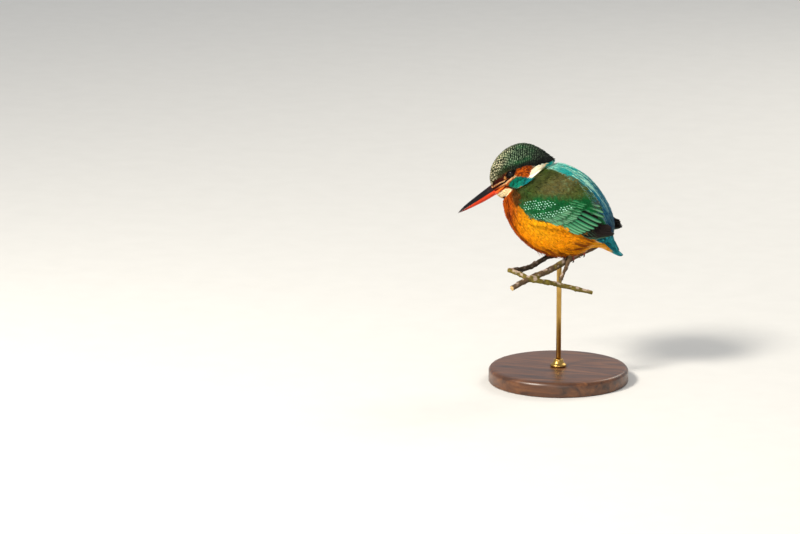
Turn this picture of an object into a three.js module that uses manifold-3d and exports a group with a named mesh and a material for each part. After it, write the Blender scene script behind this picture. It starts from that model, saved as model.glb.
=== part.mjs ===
// Common kingfisher, Alcedo atthis, an adult female, perched and hunched, as a still life-size model.
// The bird grips a short cut length of branch, which one rod holds over a round base.
// Millimetres, +Z up. The bird faces -X, and its left side is at -Y. The part is modelled round the
// point where it grips, and the exported group sets that point over the middle of the base.
import * as THREE from "three";
import { mergeVertices } from "three/addons/utils/BufferGeometryUtils.js";
import Module from "manifold-3d";

const wasm = await Module();
wasm.setup();

// ---------- driving dimensions ----------

const GAP = 0.3; // clearance between any two nodes
const SHORT_EDGE = 0.18; // edges under this length are closed up after the unions
const GRIP_HEIGHT = 100; // the gripping point above the ground

// Torso sections from neck to tail base: a point on the belly line and one on the back line, and
// half the width. Each is [belly x, belly z, back x, back z, half width].
const TORSO = [
  [-53.0, 50.5, -30.0, 71.5, 12.5],
  [-58.0, 42.0, -16.5, 74.4, 17.5],
  [-57.0, 34.0, -6.5, 72.6, 21.0],
  [-53.8, 26.0, 3.0, 68.4, 23.4],
  [-49.0, 18.4, 11.3, 62.6, 24.8],
  [-41.7, 10.7, 18.6, 55.0, 25.2],
  [-31.5, 4.0, 24.7, 46.0, 24.4],
  [-19.0, 0.5, 29.0, 37.4, 22.0],
  [-6.5, 0.7, 31.3, 29.4, 18.2],
  [4.5, 3.7, 32.0, 23.4, 13.6],
  [13.5, 8.2, 31.6, 19.0, 9.6],
  [19.5, 11.8, 30.0, 16.2, 6.5],
];
// Head sections from bill to nape: [chin x, chin z, crown x, crown z, half width].
const HEAD = [
  [-63.6, 47.6, -68.6, 54.6, 4.4],
  [-61.0, 44.6, -69.8, 61.8, 7.4],
  [-56.5, 43.4, -68.0, 70.2, 9.9],
  [-50.0, 44.4, -63.0, 78.2, 11.7],
  [-43.0, 47.0, -55.0, 85.2, 13.2],
  [-36.5, 51.5, -45.0, 89.2, 14.2],
  [-30.5, 57.0, -35.0, 88.2, 13.6],
  [-24.8, 64.0, -25.8, 83.3, 10.8],
  [-19.0, 71.0, -17.8, 77.8, 5.6],
];
const BODY_FULLNESS = 0.1; // how much wider a section is towards the belly

// The folded wings lie on a cloak: the torso's sections raised by WING_RISE as far back as the
// widest stretch, then sections of their own that narrow to the wing tips.
const WING_RISE = 2.1;
const WING_RISE_BACK = 1.1; // less along the back, where the wings lie flat
const CLOAK_REAR = [
  [-8.0, 0.5, 33.2, 32.0, 19.8],
  [8.0, 8.5, 36.2, 28.8, 17.4],
  [20.5, 14.5, 38.0, 27.0, 15.4],
  [31.6, 19.6, 39.2, 25.6, 13.4],
];

const BILL_TIP = [-96.9, 28.9]; // x, z
const EYE_RADIUS = 2.9;
const EYE_PLACE = [0.5, 2]; // share of the head's length, degrees above its middle line
const EYE_SHOWS = 1.35; // how far the eyeball stands out of the head

const TAIL_ROOT = [14.0, 25.2]; // x, z of the tail feathers' roots
const TAIL_TIP = [40.2, 3.1];

const PERCH_PLAN = 60; // degrees from +X to the branch, seen from above
const PERCH_RISE = 12.3; // degrees that the branch climbs
const PERCH_DROP = 0.6; // the branch's middle line below the gripping point
const PERCH_RADIUS = 2.7;
const FOOT_PLACES = { left: -5, right: 7.5 }; // along the branch from the gripping point

const ROD_PLACE = -17; // along the branch from the gripping point
const ROD_RADIUS = 2.0;
const BASE_RADIUS = 56;
const BASE_HEIGHT = 12;

const rad = THREE.MathUtils.degToRad;
const vec = (x, y, z) => new THREE.Vector3(x, y, z);

// A fixed series of numbers from -1 to 1, for the small differences between one feather and the next.
function varied(seed) {
  const x = Math.sin(seed * 12.9898) * 43758.5453;
  return 2 * (x - Math.floor(x)) - 1;
}

// ---------- curves and closed meshes ----------

// Catmull-Rom through a list of equal-length rows, at share t of its length.
function along(rows, t) {
  const last = rows.length - 1;
  const s = THREE.MathUtils.clamp(t, 0, 1) * last;
  const i = Math.min(Math.floor(s), last - 1);
  const f = s - i;
  const [a, b, c, d] = [Math.max(i - 1, 0), i, i + 1, Math.min(i + 2, last)].map((k) => rows[k]);
  return b.map((_, k) => {
    const m1 = (c[k] - a[k]) / 2;
    const m2 = (d[k] - b[k]) / 2;
    const f2 = f * f;
    const f3 = f2 * f;
    return (2 * f3 - 3 * f2 + 1) * b[k] + (f3 - 2 * f2 + f) * m1 + (3 * f2 - 2 * f3) * c[k] + (f3 - f2) * m2;
  });
}

// Closed mesh from rings of equal length. Each end is closed by a fan to the ring's own middle, or
// to a given point. Every quad is split the same way.
function closedRings(rings, startPoint, endPoint) {
  const sides = rings[0].length;
  const middle = (ring) => ring.reduce((sum, p) => sum.clone().add(p), vec(0, 0, 0)).divideScalar(sides);
  const points = [...rings.flat(), startPoint ?? middle(rings[0]), endPoint ?? middle(rings.at(-1))];
  const startIndex = rings.length * sides;
  const faces = [];
  for (let i = 0; i < sides; i++) {
    const j = (i + 1) % sides;
    for (let k = 0; k + 1 < rings.length; k++) {
      const [a, b] = [k * sides + i, k * sides + j];
      faces.push(a, b, b + sides, a, b + sides, a + sides);
    }
    const lastRow = (rings.length - 1) * sides;
    faces.push(startIndex, j, i, startIndex + 1, lastRow + i, lastRow + j);
  }
  const geometry = new THREE.BufferGeometry().setFromPoints(points);
  geometry.setIndex(faces);
  return geometry;
}

// A closed three.js geometry as a manifold-3d solid, turned outwards if it is inside out.
function solidOf(geometry) {
  const bare = geometry.clone();
  bare.deleteAttribute("normal");
  bare.deleteAttribute("uv");
  const merged = mergeVertices(bare, 1e-4);
  const build = (index) =>
    new wasm.Manifold(
      new wasm.Mesh({
        numProp: 3,
        vertProperties: new Float32Array(merged.attributes.position.array),
        triVerts: new Uint32Array(index),
      }),
    );
  const index = [...merged.index.array];
  const made = build(index);
  return made.volume() > 0 ? made : build(index.reverse());
}

const stop = (p, radius) => [p.x, p.y, p.z, radius]; // a tube's point and its radius there
const solidRings = (rings, startPoint, endPoint) => solidOf(closedRings(rings, startPoint, endPoint));
const join = (solids) => solids.reduce((sum, s) => sum.add(s));

// Collapses edges shorter than SHORT_EDGE wherever the surface stays closed and no face turns over.
function withoutSlivers(points, triangles) {
  const faces = triangles.map((f) => [...f]);
  const around = points.map(() => new Set());
  faces.forEach((f, i) => f.forEach((v) => around[v].add(i)));
  const neighbours = (v) => new Set([...around[v]].flatMap((i) => faces[i]).filter((w) => w !== v));
  const normal = (f) => {
    const [a, b, c] = f.map((v) => points[v]);
    return b.clone().sub(a).cross(c.clone().sub(a));
  };
  const collapse = (keep, drop) => {
    const shared = [...around[keep]].filter((i) => around[drop].has(i));
    const opposite = new Set(shared.flatMap((i) => faces[i]).filter((v) => v !== keep && v !== drop));
    const ringOfKeep = neighbours(keep);
    const common = [...neighbours(drop)].filter((v) => ringOfKeep.has(v));
    if (shared.length !== 2 || opposite.size !== 2 || common.length !== 2) return false;
    const moved = [...around[drop]].filter((i) => !shared.includes(i));
    const turned = (i) => faces[i].map((v) => (v === drop ? keep : v));
    const sliver = 1e-7; // mm4, below which a face's direction means nothing
    const flips = (i) => {
      const [before, after] = [normal(faces[i]), normal(turned(i))];
      if (after.lengthSq() < sliver) return true;
      return before.lengthSq() > sliver && before.dot(after) < 0.2 * before.length() * after.length();
    };
    if (moved.some(flips)) return false;
    for (const i of moved) {
      faces[i] = turned(i);
      around[keep].add(i);
    }
    for (const i of shared) {
      faces[i].forEach((v) => around[v].delete(i));
      faces[i] = null;
    }
    around[drop].clear();
    return true;
  };
  for (let pass = 0; pass < 4; pass++) {
    for (let i = 0; i < faces.length; i++) {
      for (let k = 0; k < 3 && faces[i]; k++) {
        const [a, b] = [faces[i][k], faces[i][(k + 1) % 3]];
        if (points[a].distanceTo(points[b]) < SHORT_EDGE && !collapse(a, b)) collapse(b, a);
      }
    }
  }
  return faces.filter((f) => f);
}

// Where two sheets of a surface all but touch at a point, draws each a little inwards.
function partTouchingPoints(points, faces) {
  const inwards = points.map(() => vec(0, 0, 0));
  for (const f of faces) {
    const [a, b, c] = f.map((v) => points[v]);
    const normal = b.clone().sub(a).cross(c.clone().sub(a));
    f.forEach((v) => inwards[v].sub(normal));
  }
  const touch = 0.01;
  const order = [...new Set(faces.flat())].sort((v, w) => points[v].x - points[w].x);
  const touching = new Set();
  order.forEach((v, i) => {
    for (let j = i + 1; j < order.length && points[order[j]].x - points[v].x < touch; j++) {
      if (points[order[j]].distanceTo(points[v]) < touch) touching.add(v).add(order[j]);
    }
  });
  touching.forEach((v) => points[v].addScaledVector(inwards[v].normalize(), 2 * touch));
}

// A solid as a named mesh that keeps only its largest closed surface.
function node(name, solid, material) {
  const largest = solid.decompose().reduce((best, s) => (s.volume() > best.volume() ? s : best));
  const mesh = largest.getMesh();
  const points = Array.from({ length: mesh.numVert }, (_, i) => {
    const place = mesh.vertProperties.subarray(i * mesh.numProp, i * mesh.numProp + 3);
    return new THREE.Vector3(...place);
  });
  const triangles = Array.from({ length: mesh.numTri }, (_, i) => mesh.triVerts.subarray(i * 3, i * 3 + 3));
  const faces = withoutSlivers(points, triangles);
  partTouchingPoints(points, faces);
  const geometry = new THREE.BufferGeometry().setFromPoints(points);
  geometry.setIndex(faces.flat());
  geometry.computeVertexNormals();
  const made = new THREE.Mesh(geometry, material);
  made.name = name;
  return made;
}

// ---------- body surfaces ----------

// Sections with their half width and belly end raised by rise, and their back end by backRise.
function raiseAll(sections, rise, backRise = rise) {
  return sections.map(([lowX, lowZ, highX, highZ, half]) => {
    const length = Math.hypot(highX - lowX, highZ - lowZ);
    const [ux, uz] = [(highX - lowX) / length, (highZ - lowZ) / length];
    return [lowX - ux * rise, lowZ - uz * rise, highX + ux * backRise, highZ + uz * backRise, half + rise];
  });
}

// The point of a lofted body at share t of its length and angle a round it. Angle 90 is the back
// and -90 the belly. side is -1 for the left half and 1 for the right.
function onBody(sections, t, a, side) {
  const [lowX, lowZ, highX, highZ, half] = along(sections, t);
  const s = Math.sin(a);
  return vec(
    (lowX + highX) / 2 + ((highX - lowX) / 2) * s,
    side * half * Math.cos(a) * (1 - BODY_FULLNESS * s),
    (lowZ + highZ) / 2 + ((highZ - lowZ) / 2) * s,
  );
}

// The outward normal there, from differences along and round the body.
function normalOnBody(sections, t, a, side) {
  const step = 0.004;
  const at = (share, angle) => onBody(sections, THREE.MathUtils.clamp(share, 0, 1), angle, side);
  const alongIt = at(t + step, a).sub(at(t - step, a));
  const roundIt = at(t, a + step).sub(at(t, a - step));
  return alongIt.cross(roundIt).multiplyScalar(-side).normalize();
}

// Closed loft over sections, with a dome of the given length on each end.
function bodySolid(sections, { steps, sides, startDome, endDome }) {
  const ring = (t, scale, shift) => {
    const [lowX, lowZ, highX, highZ] = along(sections, t);
    const middle = vec((lowX + highX) / 2, 0, (lowZ + highZ) / 2);
    return Array.from({ length: sides }, (_, i) => {
      const a = (2 * Math.PI * i) / sides;
      return onBody(sections, t, a, -1).sub(middle).multiplyScalar(scale).add(middle).add(shift);
    });
  };
  const middleAt = (t) => {
    const [lowX, lowZ, highX, highZ] = along(sections, t);
    return vec((lowX + highX) / 2, 0, (lowZ + highZ) / 2);
  };
  const outwards = (t, inner) => middleAt(t).sub(middleAt(inner)).normalize();
  const dome = (t, inner, length) =>
    [0.85, 0.5].map((k) => ring(t, Math.sqrt(1 - k * k), outwards(t, inner).multiplyScalar(k * length)));
  const tip = (t, inner, length) => middleAt(t).add(outwards(t, inner).multiplyScalar(length));
  const still = vec(0, 0, 0);
  const rings = [
    ...dome(0, 0.05, startDome),
    ...Array.from({ length: steps + 1 }, (_, k) => ring(k / steps, 1, still)),
    ...dome(1, 0.95, endDome).reverse(),
  ];
  return solidRings(rings, tip(0, 0.05, startDome), tip(1, 0.95, endDome));
}

// A round tube through points, each [x, y, z, radius], closed by a small dome on each end.
function tubeSolid(stops, sides, steps) {
  const point = (t) => vec(...along(stops, t).slice(0, 3));
  const frames = [];
  let normal = null;
  for (let k = 0; k <= steps; k++) {
    const t = k / steps;
    const forward = point(Math.min(t + 0.01, 1)).sub(point(Math.max(t - 0.01, 0))).normalize();
    const guess = normal ?? (Math.abs(forward.z) > 0.9 ? vec(1, 0, 0) : vec(0, 0, 1));
    normal = guess.clone().addScaledVector(forward, -guess.dot(forward)).normalize();
    frames.push({ t, forward, normal, side: forward.clone().cross(normal) });
  }
  const ring = ({ t, normal: up, side }, scale, shift) => {
    const radius = along(stops, t)[3] * scale;
    return Array.from({ length: sides }, (_, i) => {
      const a = (2 * Math.PI * i) / sides;
      return point(t)
        .add(shift)
        .addScaledVector(up, radius * Math.cos(a))
        .addScaledVector(side, radius * Math.sin(a));
    });
  };
  const [first, last] = [frames[0], frames.at(-1)];
  const bulge = 0.35; // of the radius
  const start = first.forward.clone().multiplyScalar(-bulge * stops[0][3]);
  const end = last.forward.clone().multiplyScalar(bulge * stops.at(-1)[3]);
  const rings = [
    ring(first, 0.6, start.clone().multiplyScalar(0.8)),
    ...frames.map((f) => ring(f, 1, vec(0, 0, 0))),
    ring(last, 0.6, end.clone().multiplyScalar(0.8)),
  ];
  return solidRings(rings, point(0).add(start), point(1).add(end));
}

// One feather vane: a thin plate along a line of stops, each {place, across, normal}, with a half
// width and a thickness. across points to the feather's raised edge.
function vaneSolid(stops, halfWidth, thickness) {
  const outline = [0.6, 0.95, 1.0, 0.86, 0.42]; // share of the half width from root to tip
  const thinning = [1, 1, 1, 0.85, 0.6];
  const rings = stops.map(({ place, across, normal }, k) => {
    const w = halfWidth * outline[k];
    const h = (thickness * thinning[k]) / 2;
    const corner = (i, j) => place.clone().addScaledVector(across, i * w).addScaledVector(normal, j * h);
    return [corner(-1, -1), corner(1, -1), corner(1, 1), corner(-1, 1)];
  });
  return solidRings(rings);
}
const VANE_STOPS = [0, 0.36, 0.68, 0.9, 1]; // where a vane's five sections lie along it

// ---------- head, neck and torso ----------

const bodyShape = { steps: 22, sides: 28, startDome: 6, endDome: 3 };
const headShape = { steps: 18, sides: 26, startDome: 1.5, endDome: 1.8 };

// The coverts that taper out along the tail, below and above its root, as torso sections.
const UNDERTAIL = [
  [2.0, 5.0, 12.0, 18.0, 8.0],
  [12.5, 7.6, 18.5, 19.0, 6.4],
  [21.0, 8.6, 25.0, 15.0, 4.8],
  [29.0, 6.0, 31.0, 9.8, 3.0],
  [34.3, 3.6, 35.0, 5.2, 1.4],
];
const UPPERTAIL = [
  [20.0, 22.0, 31.0, 24.6, 9.0],
  [24.3, 17.4, 31.3, 19.8, 8.0],
  [28.2, 13.6, 32.3, 15.4, 6.2],
  [31.9, 10.6, 34.4, 11.9, 4.2],
  [35.6, 7.2, 36.6, 8.0, 2.2],
];
const coverts = (sections, rise) =>
  bodySolid(raiseAll(sections, rise), { steps: 6, sides: 14, startDome: 2, endDome: 1 });

const flesh = (rise) => {
  const trunk = bodySolid(raiseAll(TORSO, rise), bodyShape);
  return {
    torso: join([trunk, coverts(UNDERTAIL, rise), coverts(UPPERTAIL, rise)]),
    head: bodySolid(raiseAll(HEAD, rise), headShape),
  };
};
const { torso: torsoSolid, head: headSolid } = flesh(0);
const clear = flesh(GAP);
const clearBody = clear.torso.add(clear.head);

// The half space on the far side of a plane that holds the Y axis direction, as a large box. The
// plane passes through low and high, each [x, z]; shift moves it along its normal.
function halfSpace(low, high, shift) {
  const size = 400;
  const box = new THREE.BoxGeometry(size, size, size);
  const slope = Math.atan2(high[1] - low[1], high[0] - low[0]);
  const normal = vec(Math.sin(slope), 0, -Math.cos(slope)); // towards the tail
  box.rotateY(-slope);
  const middle = vec((low[0] + high[0]) / 2, 0, (low[1] + high[1]) / 2);
  const centre = middle.addScaledVector(normal, shift + size / 2);
  box.translate(centre.x, centre.y, centre.z);
  return solidOf(box);
}

const NECK_FRONT = [[-60.5, 42.8], [-14.5, 75.8]]; // the planes that bound the neck
const NECK_DEPTH = 7;

function eyeCentre(side) {
  const [t, angle] = EYE_PLACE;
  const surface = onBody(HEAD, t, rad(angle), side);
  return surface.addScaledVector(normalOnBody(HEAD, t, rad(angle), side), EYE_SHOWS - EYE_RADIUS);
}
function eyeBall(side, radius) {
  const ball = new THREE.SphereGeometry(radius, 14, 10);
  const place = eyeCentre(side);
  ball.translate(place.x, place.y, place.z);
  return solidOf(ball);
}
// Upper and lower lids: a low ring round the eye, on the head's surface.
function eyelids(side) {
  const [t, angle] = EYE_PLACE;
  const ring = new THREE.TorusGeometry(EYE_RADIUS * 0.98, 0.75, 6, 18);
  const facing = normalOnBody(HEAD, t, rad(angle), side);
  ring.applyQuaternion(new THREE.Quaternion().setFromUnitVectors(vec(0, 0, 1), facing));
  const place = eyeCentre(side).addScaledVector(facing, EYE_RADIUS - EYE_SHOWS);
  ring.translate(place.x, place.y, place.z);
  return solidOf(ring);
}

// The line of the mouth where it runs on from the bill to below the eye, cut into the face. Each
// point is a share of the head's length and degrees.
const MOUTH_LINE = [[0.12, -18], [0.25, -17], [0.34, -16], [0.42, -14], [0.48, -11.5]];
function mouthLine(side) {
  const stops = MOUTH_LINE.map(([t, angle], i) => {
    const width = 0.55 - 0.06 * i;
    return stop(onBody(HEAD, t, rad(angle), side), width);
  });
  return tubeSolid(stops, 6, 8);
}

// ---------- bill ----------

// Lines of the closed bill from its root inside the face to its tip, each [x, z].
const CULMEN = [[-63.0, 59.4], [-68.6, 54.4], [-80.2, 44.9], [-91.4, 35.2], BILL_TIP];
const GAPE = [[-50.0, 61.4], [-61.8, 53.0], [-74.0, 44.5], [-88.0, 34.9], BILL_TIP];
const GONYS = [[-56.0, 52.0], [-62.8, 47.6], [-74.5, 40.1], [-88.8, 32.4], BILL_TIP];
const BILL_HALF_WIDTH = [5.3, 4.7, 3.2, 1.8, 0.35];

// One mandible between two of those lines. roof is 1 when the outer line is above the gape.
function mandible(outer, roof) {
  const steps = 14;
  const across = 10;
  const rings = Array.from({ length: steps + 1 }, (_, k) => {
    const t = k / steps;
    const [outX, outZ] = along(outer, t);
    const [gapX, gapZ] = along(GAPE, t);
    const half = along(BILL_HALF_WIDTH.map((w) => [w]), t)[0];
    const gap = (GAP / 2) * roof;
    const flat = Array.from({ length: 3 }, (_, i) => vec(gapX, half * (1 - i), gapZ + gap));
    const arch = Array.from({ length: across - 1 }, (_, i) => {
      const a = (Math.PI * (i + 1)) / across;
      const lift = Math.sin(a) ** 0.85;
      return vec(gapX + (outX - gapX) * lift, -half * Math.cos(a), gapZ + gap + (outZ - gapZ) * lift);
    });
    return [...flat, ...arch];
  });
  return solidRings(rings);
}

function nostril(side) {
  const slit = new THREE.SphereGeometry(1, 10, 6);
  slit.scale(1.5, 0.8, 0.42);
  slit.rotateY(rad(-38));
  slit.translate(-69.8, side * 3.9, 50.4);
  return solidOf(slit);
}

// ---------- wings ----------

const CLOAK = [...raiseAll(TORSO.slice(1, 8), WING_RISE, WING_RISE_BACK), ...CLOAK_REAR];

// The wing's upper and lower borders on the cloak: [share of length, degrees].
const WING_TOP = [[0.05, 52], [0.17, 62], [0.3, 64], [0.42, 65], [0.53, 66], [0.64, 62]];
const WING_LOW = [[0.05, -14], [0.12, -19], [0.2, -17], [0.33, -8], [0.47, 6], [0.62, 16]];

// A stop on the cloak, lifted off it, with the vane rolled so that its lower edge stands out.
function cloakStop(side, [t0, a0], [t1, a1], k, lift, roll) {
  const at = (share) => {
    const t = t0 + (t1 - t0) * share;
    const a = rad(a0 + (a1 - a0) * share);
    return { place: onBody(CLOAK, t, a, side), normal: normalOnBody(CLOAK, t, a, side) };
  };
  const { place, normal } = at(k);
  const forward = at(Math.min(k + 0.05, 1)).place.sub(at(Math.max(k - 0.05, 0)).place).normalize();
  const upwards = forward.clone().cross(normal).normalize().multiplyScalar(-side);
  const across = upwards.applyAxisAngle(forward, roll * side);
  place.addScaledVector(normal, lift);
  return { place, across, normal: across.clone().cross(forward).normalize() };
}

// A tier of overlapping vanes, from the back down. Roots and tips are lists of [share of length,
// degrees] that the tier follows, and the lifts off the cloak run from root to tip.
function tier(side, { count, roots, tips, halfWidth, lifts, roll, thickness = 0.6 }) {
  return Array.from({ length: count }, (_, i) => {
    const share = i / (count - 1);
    const seed = i + 10 * count + halfWidth[0] + 0.5 * side;
    const root = along(roots, share);
    const tip = along(tips, share).map((v, k) => v + varied(seed + k) * [0.006, 0.5][k]);
    const uneven = 0.04 * varied(seed + 3);
    const stops = VANE_STOPS.map((k) =>
      cloakStop(side, root, tip, k, lifts[0] + (lifts[1] - lifts[0]) * k + uneven, rad(roll)),
    );
    return vaneSolid(stops, along(halfWidth.map((w) => [w]), share)[0], thickness);
  });
}

// Feather tiers of the folded wing, the lowest first.
const WING_TIERS = [
  { // primaries
    count: 7,
    roots: [[0.5, 52], [0.54, 34], [0.52, 18]],
    tips: [[0.79, 54], [0.9, 34], [0.99, 19], [0.93, 14], [0.84, 14]],
    halfWidth: [2.4, 1.8],
    lifts: [-1.5, -0.3],
    roll: 12,
  },
  { // secondaries and tertials, the green bars
    count: 8,
    roots: [[0.38, 54], [0.4, 32], [0.38, 7]],
    tips: [[0.67, 62], [0.71, 47], [0.7, 31], [0.66, 19]],
    halfWidth: [2.5, 1.9, 1.8],
    lifts: [-1.1, 0.7],
    roll: 14,
  },
  { // greater coverts
    count: 7,
    roots: [[0.27, 42], [0.27, 20], [0.22, -4]],
    tips: [[0.47, 43], [0.48, 22], [0.43, 2]],
    halfWidth: [2.2, 2.1],
    lifts: [-0.8, 1.0],
    roll: 13,
  },
  { // median coverts
    count: 6,
    roots: [[0.15, 33], [0.14, 11], [0.12, -11]],
    tips: [[0.33, 35], [0.33, 12], [0.28, -8]],
    halfWidth: [2.3, 2.1],
    lifts: [-0.8, 1.0],
    roll: 12,
  },
  { // scapulars, long and broad over the shoulder
    count: 4,
    roots: [[0.12, 60], [0.13, 40]],
    tips: [[0.47, 63], [0.4, 38]],
    halfWidth: [3.2, 3.2],
    lifts: [-0.8, 0.9],
    roll: 9,
  },
];

// The wing under its feathers: a sheet on the cloak, cut below by the body.
function wingCore(side) {
  const steps = 14;
  const across = 8;
  const depth = 4.4;
  const rings = Array.from({ length: steps + 1 }, (_, k) => {
    const share = k / steps;
    const [top, low] = [along(WING_TOP, share), along(WING_LOW, share)];
    const at = (q, rise) => {
      const [t, a] = [low[0] + (top[0] - low[0]) * q, rad(low[1] + (top[1] - low[1]) * q)];
      return onBody(CLOAK, t, a, side).addScaledVector(normalOnBody(CLOAK, t, a, side), rise);
    };
    const upper = Array.from({ length: across + 1 }, (_, i) => at(i / across, -0.15));
    const under = Array.from({ length: across - 1 }, (_, i) => at(1 - (i + 1) / across, -depth));
    return [...upper, ...under];
  });
  return solidRings(rings);
}

function wing(side) {
  const feathers = WING_TIERS.flatMap((row) => tier(side, row));
  return join([wingCore(side), ...feathers]).subtract(clearBody);
}

// ---------- tail ----------

// Twelve tail feathers in a closed fan, the middle pair on top and the outer ones a little shorter.
function tail() {
  const root = vec(TAIL_ROOT[0], 0, TAIL_ROOT[1]);
  const tip = vec(TAIL_TIP[0], 0, TAIL_TIP[1]);
  const length = root.distanceTo(tip);
  const forward = tip.clone().sub(root).normalize();
  const up = vec(-forward.z, 0, forward.x);
  const vanes = [];
  for (const side of [-1, 1]) {
    for (let i = 0; i < 6; i++) {
      const line = forward.clone().applyAxisAngle(up, -side * rad(0.2 + 0.25 * i));
      const reach = length * (1 - 0.004 * i * i);
      const across = up.clone().cross(line).normalize().applyAxisAngle(line, side * rad(10));
      const normal = line.clone().cross(across).normalize();
      const start = root.clone().addScaledVector(up, -0.24 * i).add(vec(0, side * (0.5 + 0.62 * i), 0));
      const stops = VANE_STOPS.map((k) => ({
        place: start.clone().addScaledVector(line, reach * k),
        across,
        normal,
      }));
      vanes.push(vaneSolid(stops, 2.2, 0.6));
    }
  }
  return join(vanes);
}

// ---------- perch, feet and stand ----------

const perchLine = vec(
  Math.cos(rad(PERCH_RISE)) * Math.cos(rad(PERCH_PLAN)),
  Math.cos(rad(PERCH_RISE)) * Math.sin(rad(PERCH_PLAN)),
  Math.sin(rad(PERCH_RISE)),
);
const perchUp = vec(0, 0, 1).addScaledVector(perchLine, -perchLine.z).normalize();
const perchFront = perchUp.clone().cross(perchLine).normalize(); // towards the bird's front
// A point by its distance along the branch, and its offsets up and to the front of it.
const onPerch = (s, upwards = 0, frontwards = 0) =>
  vec(0, 0, -PERCH_DROP)
    .addScaledVector(perchLine, s)
    .addScaledVector(perchUp, upwards)
    .addScaledVector(perchFront, frontwards);

// The branch from its left end: [along, up, front, radius].
const BRANCH = [
  [-70, -0.6, 1.2, 2.3],
  [-60, 0.4, 0.8, 2.5],
  [-48, 0.5, 0.2, 2.5],
  [-36, -0.2, -0.3, 2.5],
  [-24, -0.7, 0.1, 2.6],
  [-12, -0.2, 0, PERCH_RADIUS],
  [0, 0, 0, PERCH_RADIUS],
  [12, 0, 0, PERCH_RADIUS],
  [20, -0.3, 0.3, 2.8],
  [27, -0.2, 0.8, 2.6],
];
// Side twigs, each a list of points x, y, z and radius. The first two fork where they begin, the
// second crosses the branch and joins it there, and the third grows up from the second.
const FORK = [-43.6, -38.0, -6.1, 1.9];
const FRONT_TWIG = [
  FORK,
  [-37.8, -27.0, -7.7, 2.0],
  [-32.8, -16.0, -8.1, 2.2],
  [-26.9, -5.0, -5.2, 2.1],
  [-21.9, 5.0, -2.9, 1.9],
  [-16.4, 10.0, -3.9, 1.4],
];
const LOW_TWIG = [
  FORK,
  [-33.0, -42.0, -8.0, 2.0],
  [-23.5, -42.6, -11.6, 2.2],
  [-13.3, -33.0, -15.2, 2.0],
  [-6.0, -24.0, -18.6, 2.1],
  [6.0, -17.0, -22.5, 1.9],
  [18.7, -12.0, -26.3, 1.6],
];
const RISING_TWIG = [
  [-6.0, -24.0, -18.6, 1.5],
  [-3.8, -19.2, -10.8, 1.6],
  [-1.4, -14.4, -3.4, 1.7],
  [0.2, -11.2, 2.6, 1.6],
];

function perch(grow) {
  const main = BRANCH.map(([s, upwards, frontwards, r]) => stop(onPerch(s, upwards, frontwards), r));
  const grown = (points) => points.map(([x, y, z, r]) => [x, y, z, r + grow]);
  return join([
    tubeSolid(grown(main), 10, 26),
    tubeSolid(grown(FRONT_TWIG), 8, 10),
    tubeSolid(grown(LOW_TWIG), 8, 12),
    tubeSolid(grown(RISING_TWIG), 8, 5).subtract(clearBody),
  ]);
}

// Toes round the branch, three forwards and one back: [along, start, end, radius], with the angles
// in degrees from the branch's top towards its front.
const TOES = [
  [-2.3, 4, 112, 0.95],
  [0.0, 0, 128, 1.05],
  [2.2, 4, 118, 0.95],
  [0.2, -6, -96, 1.0],
];
const TOE_CLEARANCE = GAP + 0.15; // between a toe and the bark
const CLAW_SWEEP = 34; // degrees round the branch

// A point on a ring about the branch, at an angle from its top.
const onRing = (s, degrees, out) => onPerch(s, out * Math.cos(rad(degrees)), out * Math.sin(rad(degrees)));

function toe(foot, [offset, start, end, radius], grow) {
  const out = PERCH_RADIUS + TOE_CLEARANCE + radius;
  const stops = Array.from({ length: 6 }, (_, k) => {
    const share = k / 5;
    const knuckle = 1 - 0.22 * share + 0.1 * Math.abs(Math.sin(3 * Math.PI * share));
    const place = onRing(foot + offset * (0.6 + 0.4 * share), start + (end - start) * share, out);
    return stop(place, radius * knuckle + grow);
  });
  return tubeSolid(stops, 7, 7);
}
// The claw goes on round the branch from a little past the toe's own rounded end.
function claw(foot, [offset, start, end, radius]) {
  const out = PERCH_RADIUS + TOE_CLEARANCE + radius;
  const way = Math.sign(end - start);
  const pastToe = THREE.MathUtils.radToDeg((GAP + 0.9 * radius) / out);
  const stops = [0, 0.5, 1].map((k) => {
    const angle = end + way * (pastToe + CLAW_SWEEP * k);
    return stop(onRing(foot + offset, angle, out - 0.3 * k), 0.62 - 0.42 * k);
  });
  return tubeSolid(stops, 6, 3);
}
function leg(foot, grow) {
  const ankle = onPerch(foot, PERCH_RADIUS + TOE_CLEARANCE + 1.0, 0);
  const heel = onPerch(foot * 1.1, PERCH_RADIUS + 6.5, -1.5);
  const shank = tubeSolid([stop(ankle, 1.5 + grow), stop(heel, 1.6 + grow)], 8, 2);
  return join([shank, ...TOES.map((t) => toe(foot, t, grow))]);
}

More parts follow.
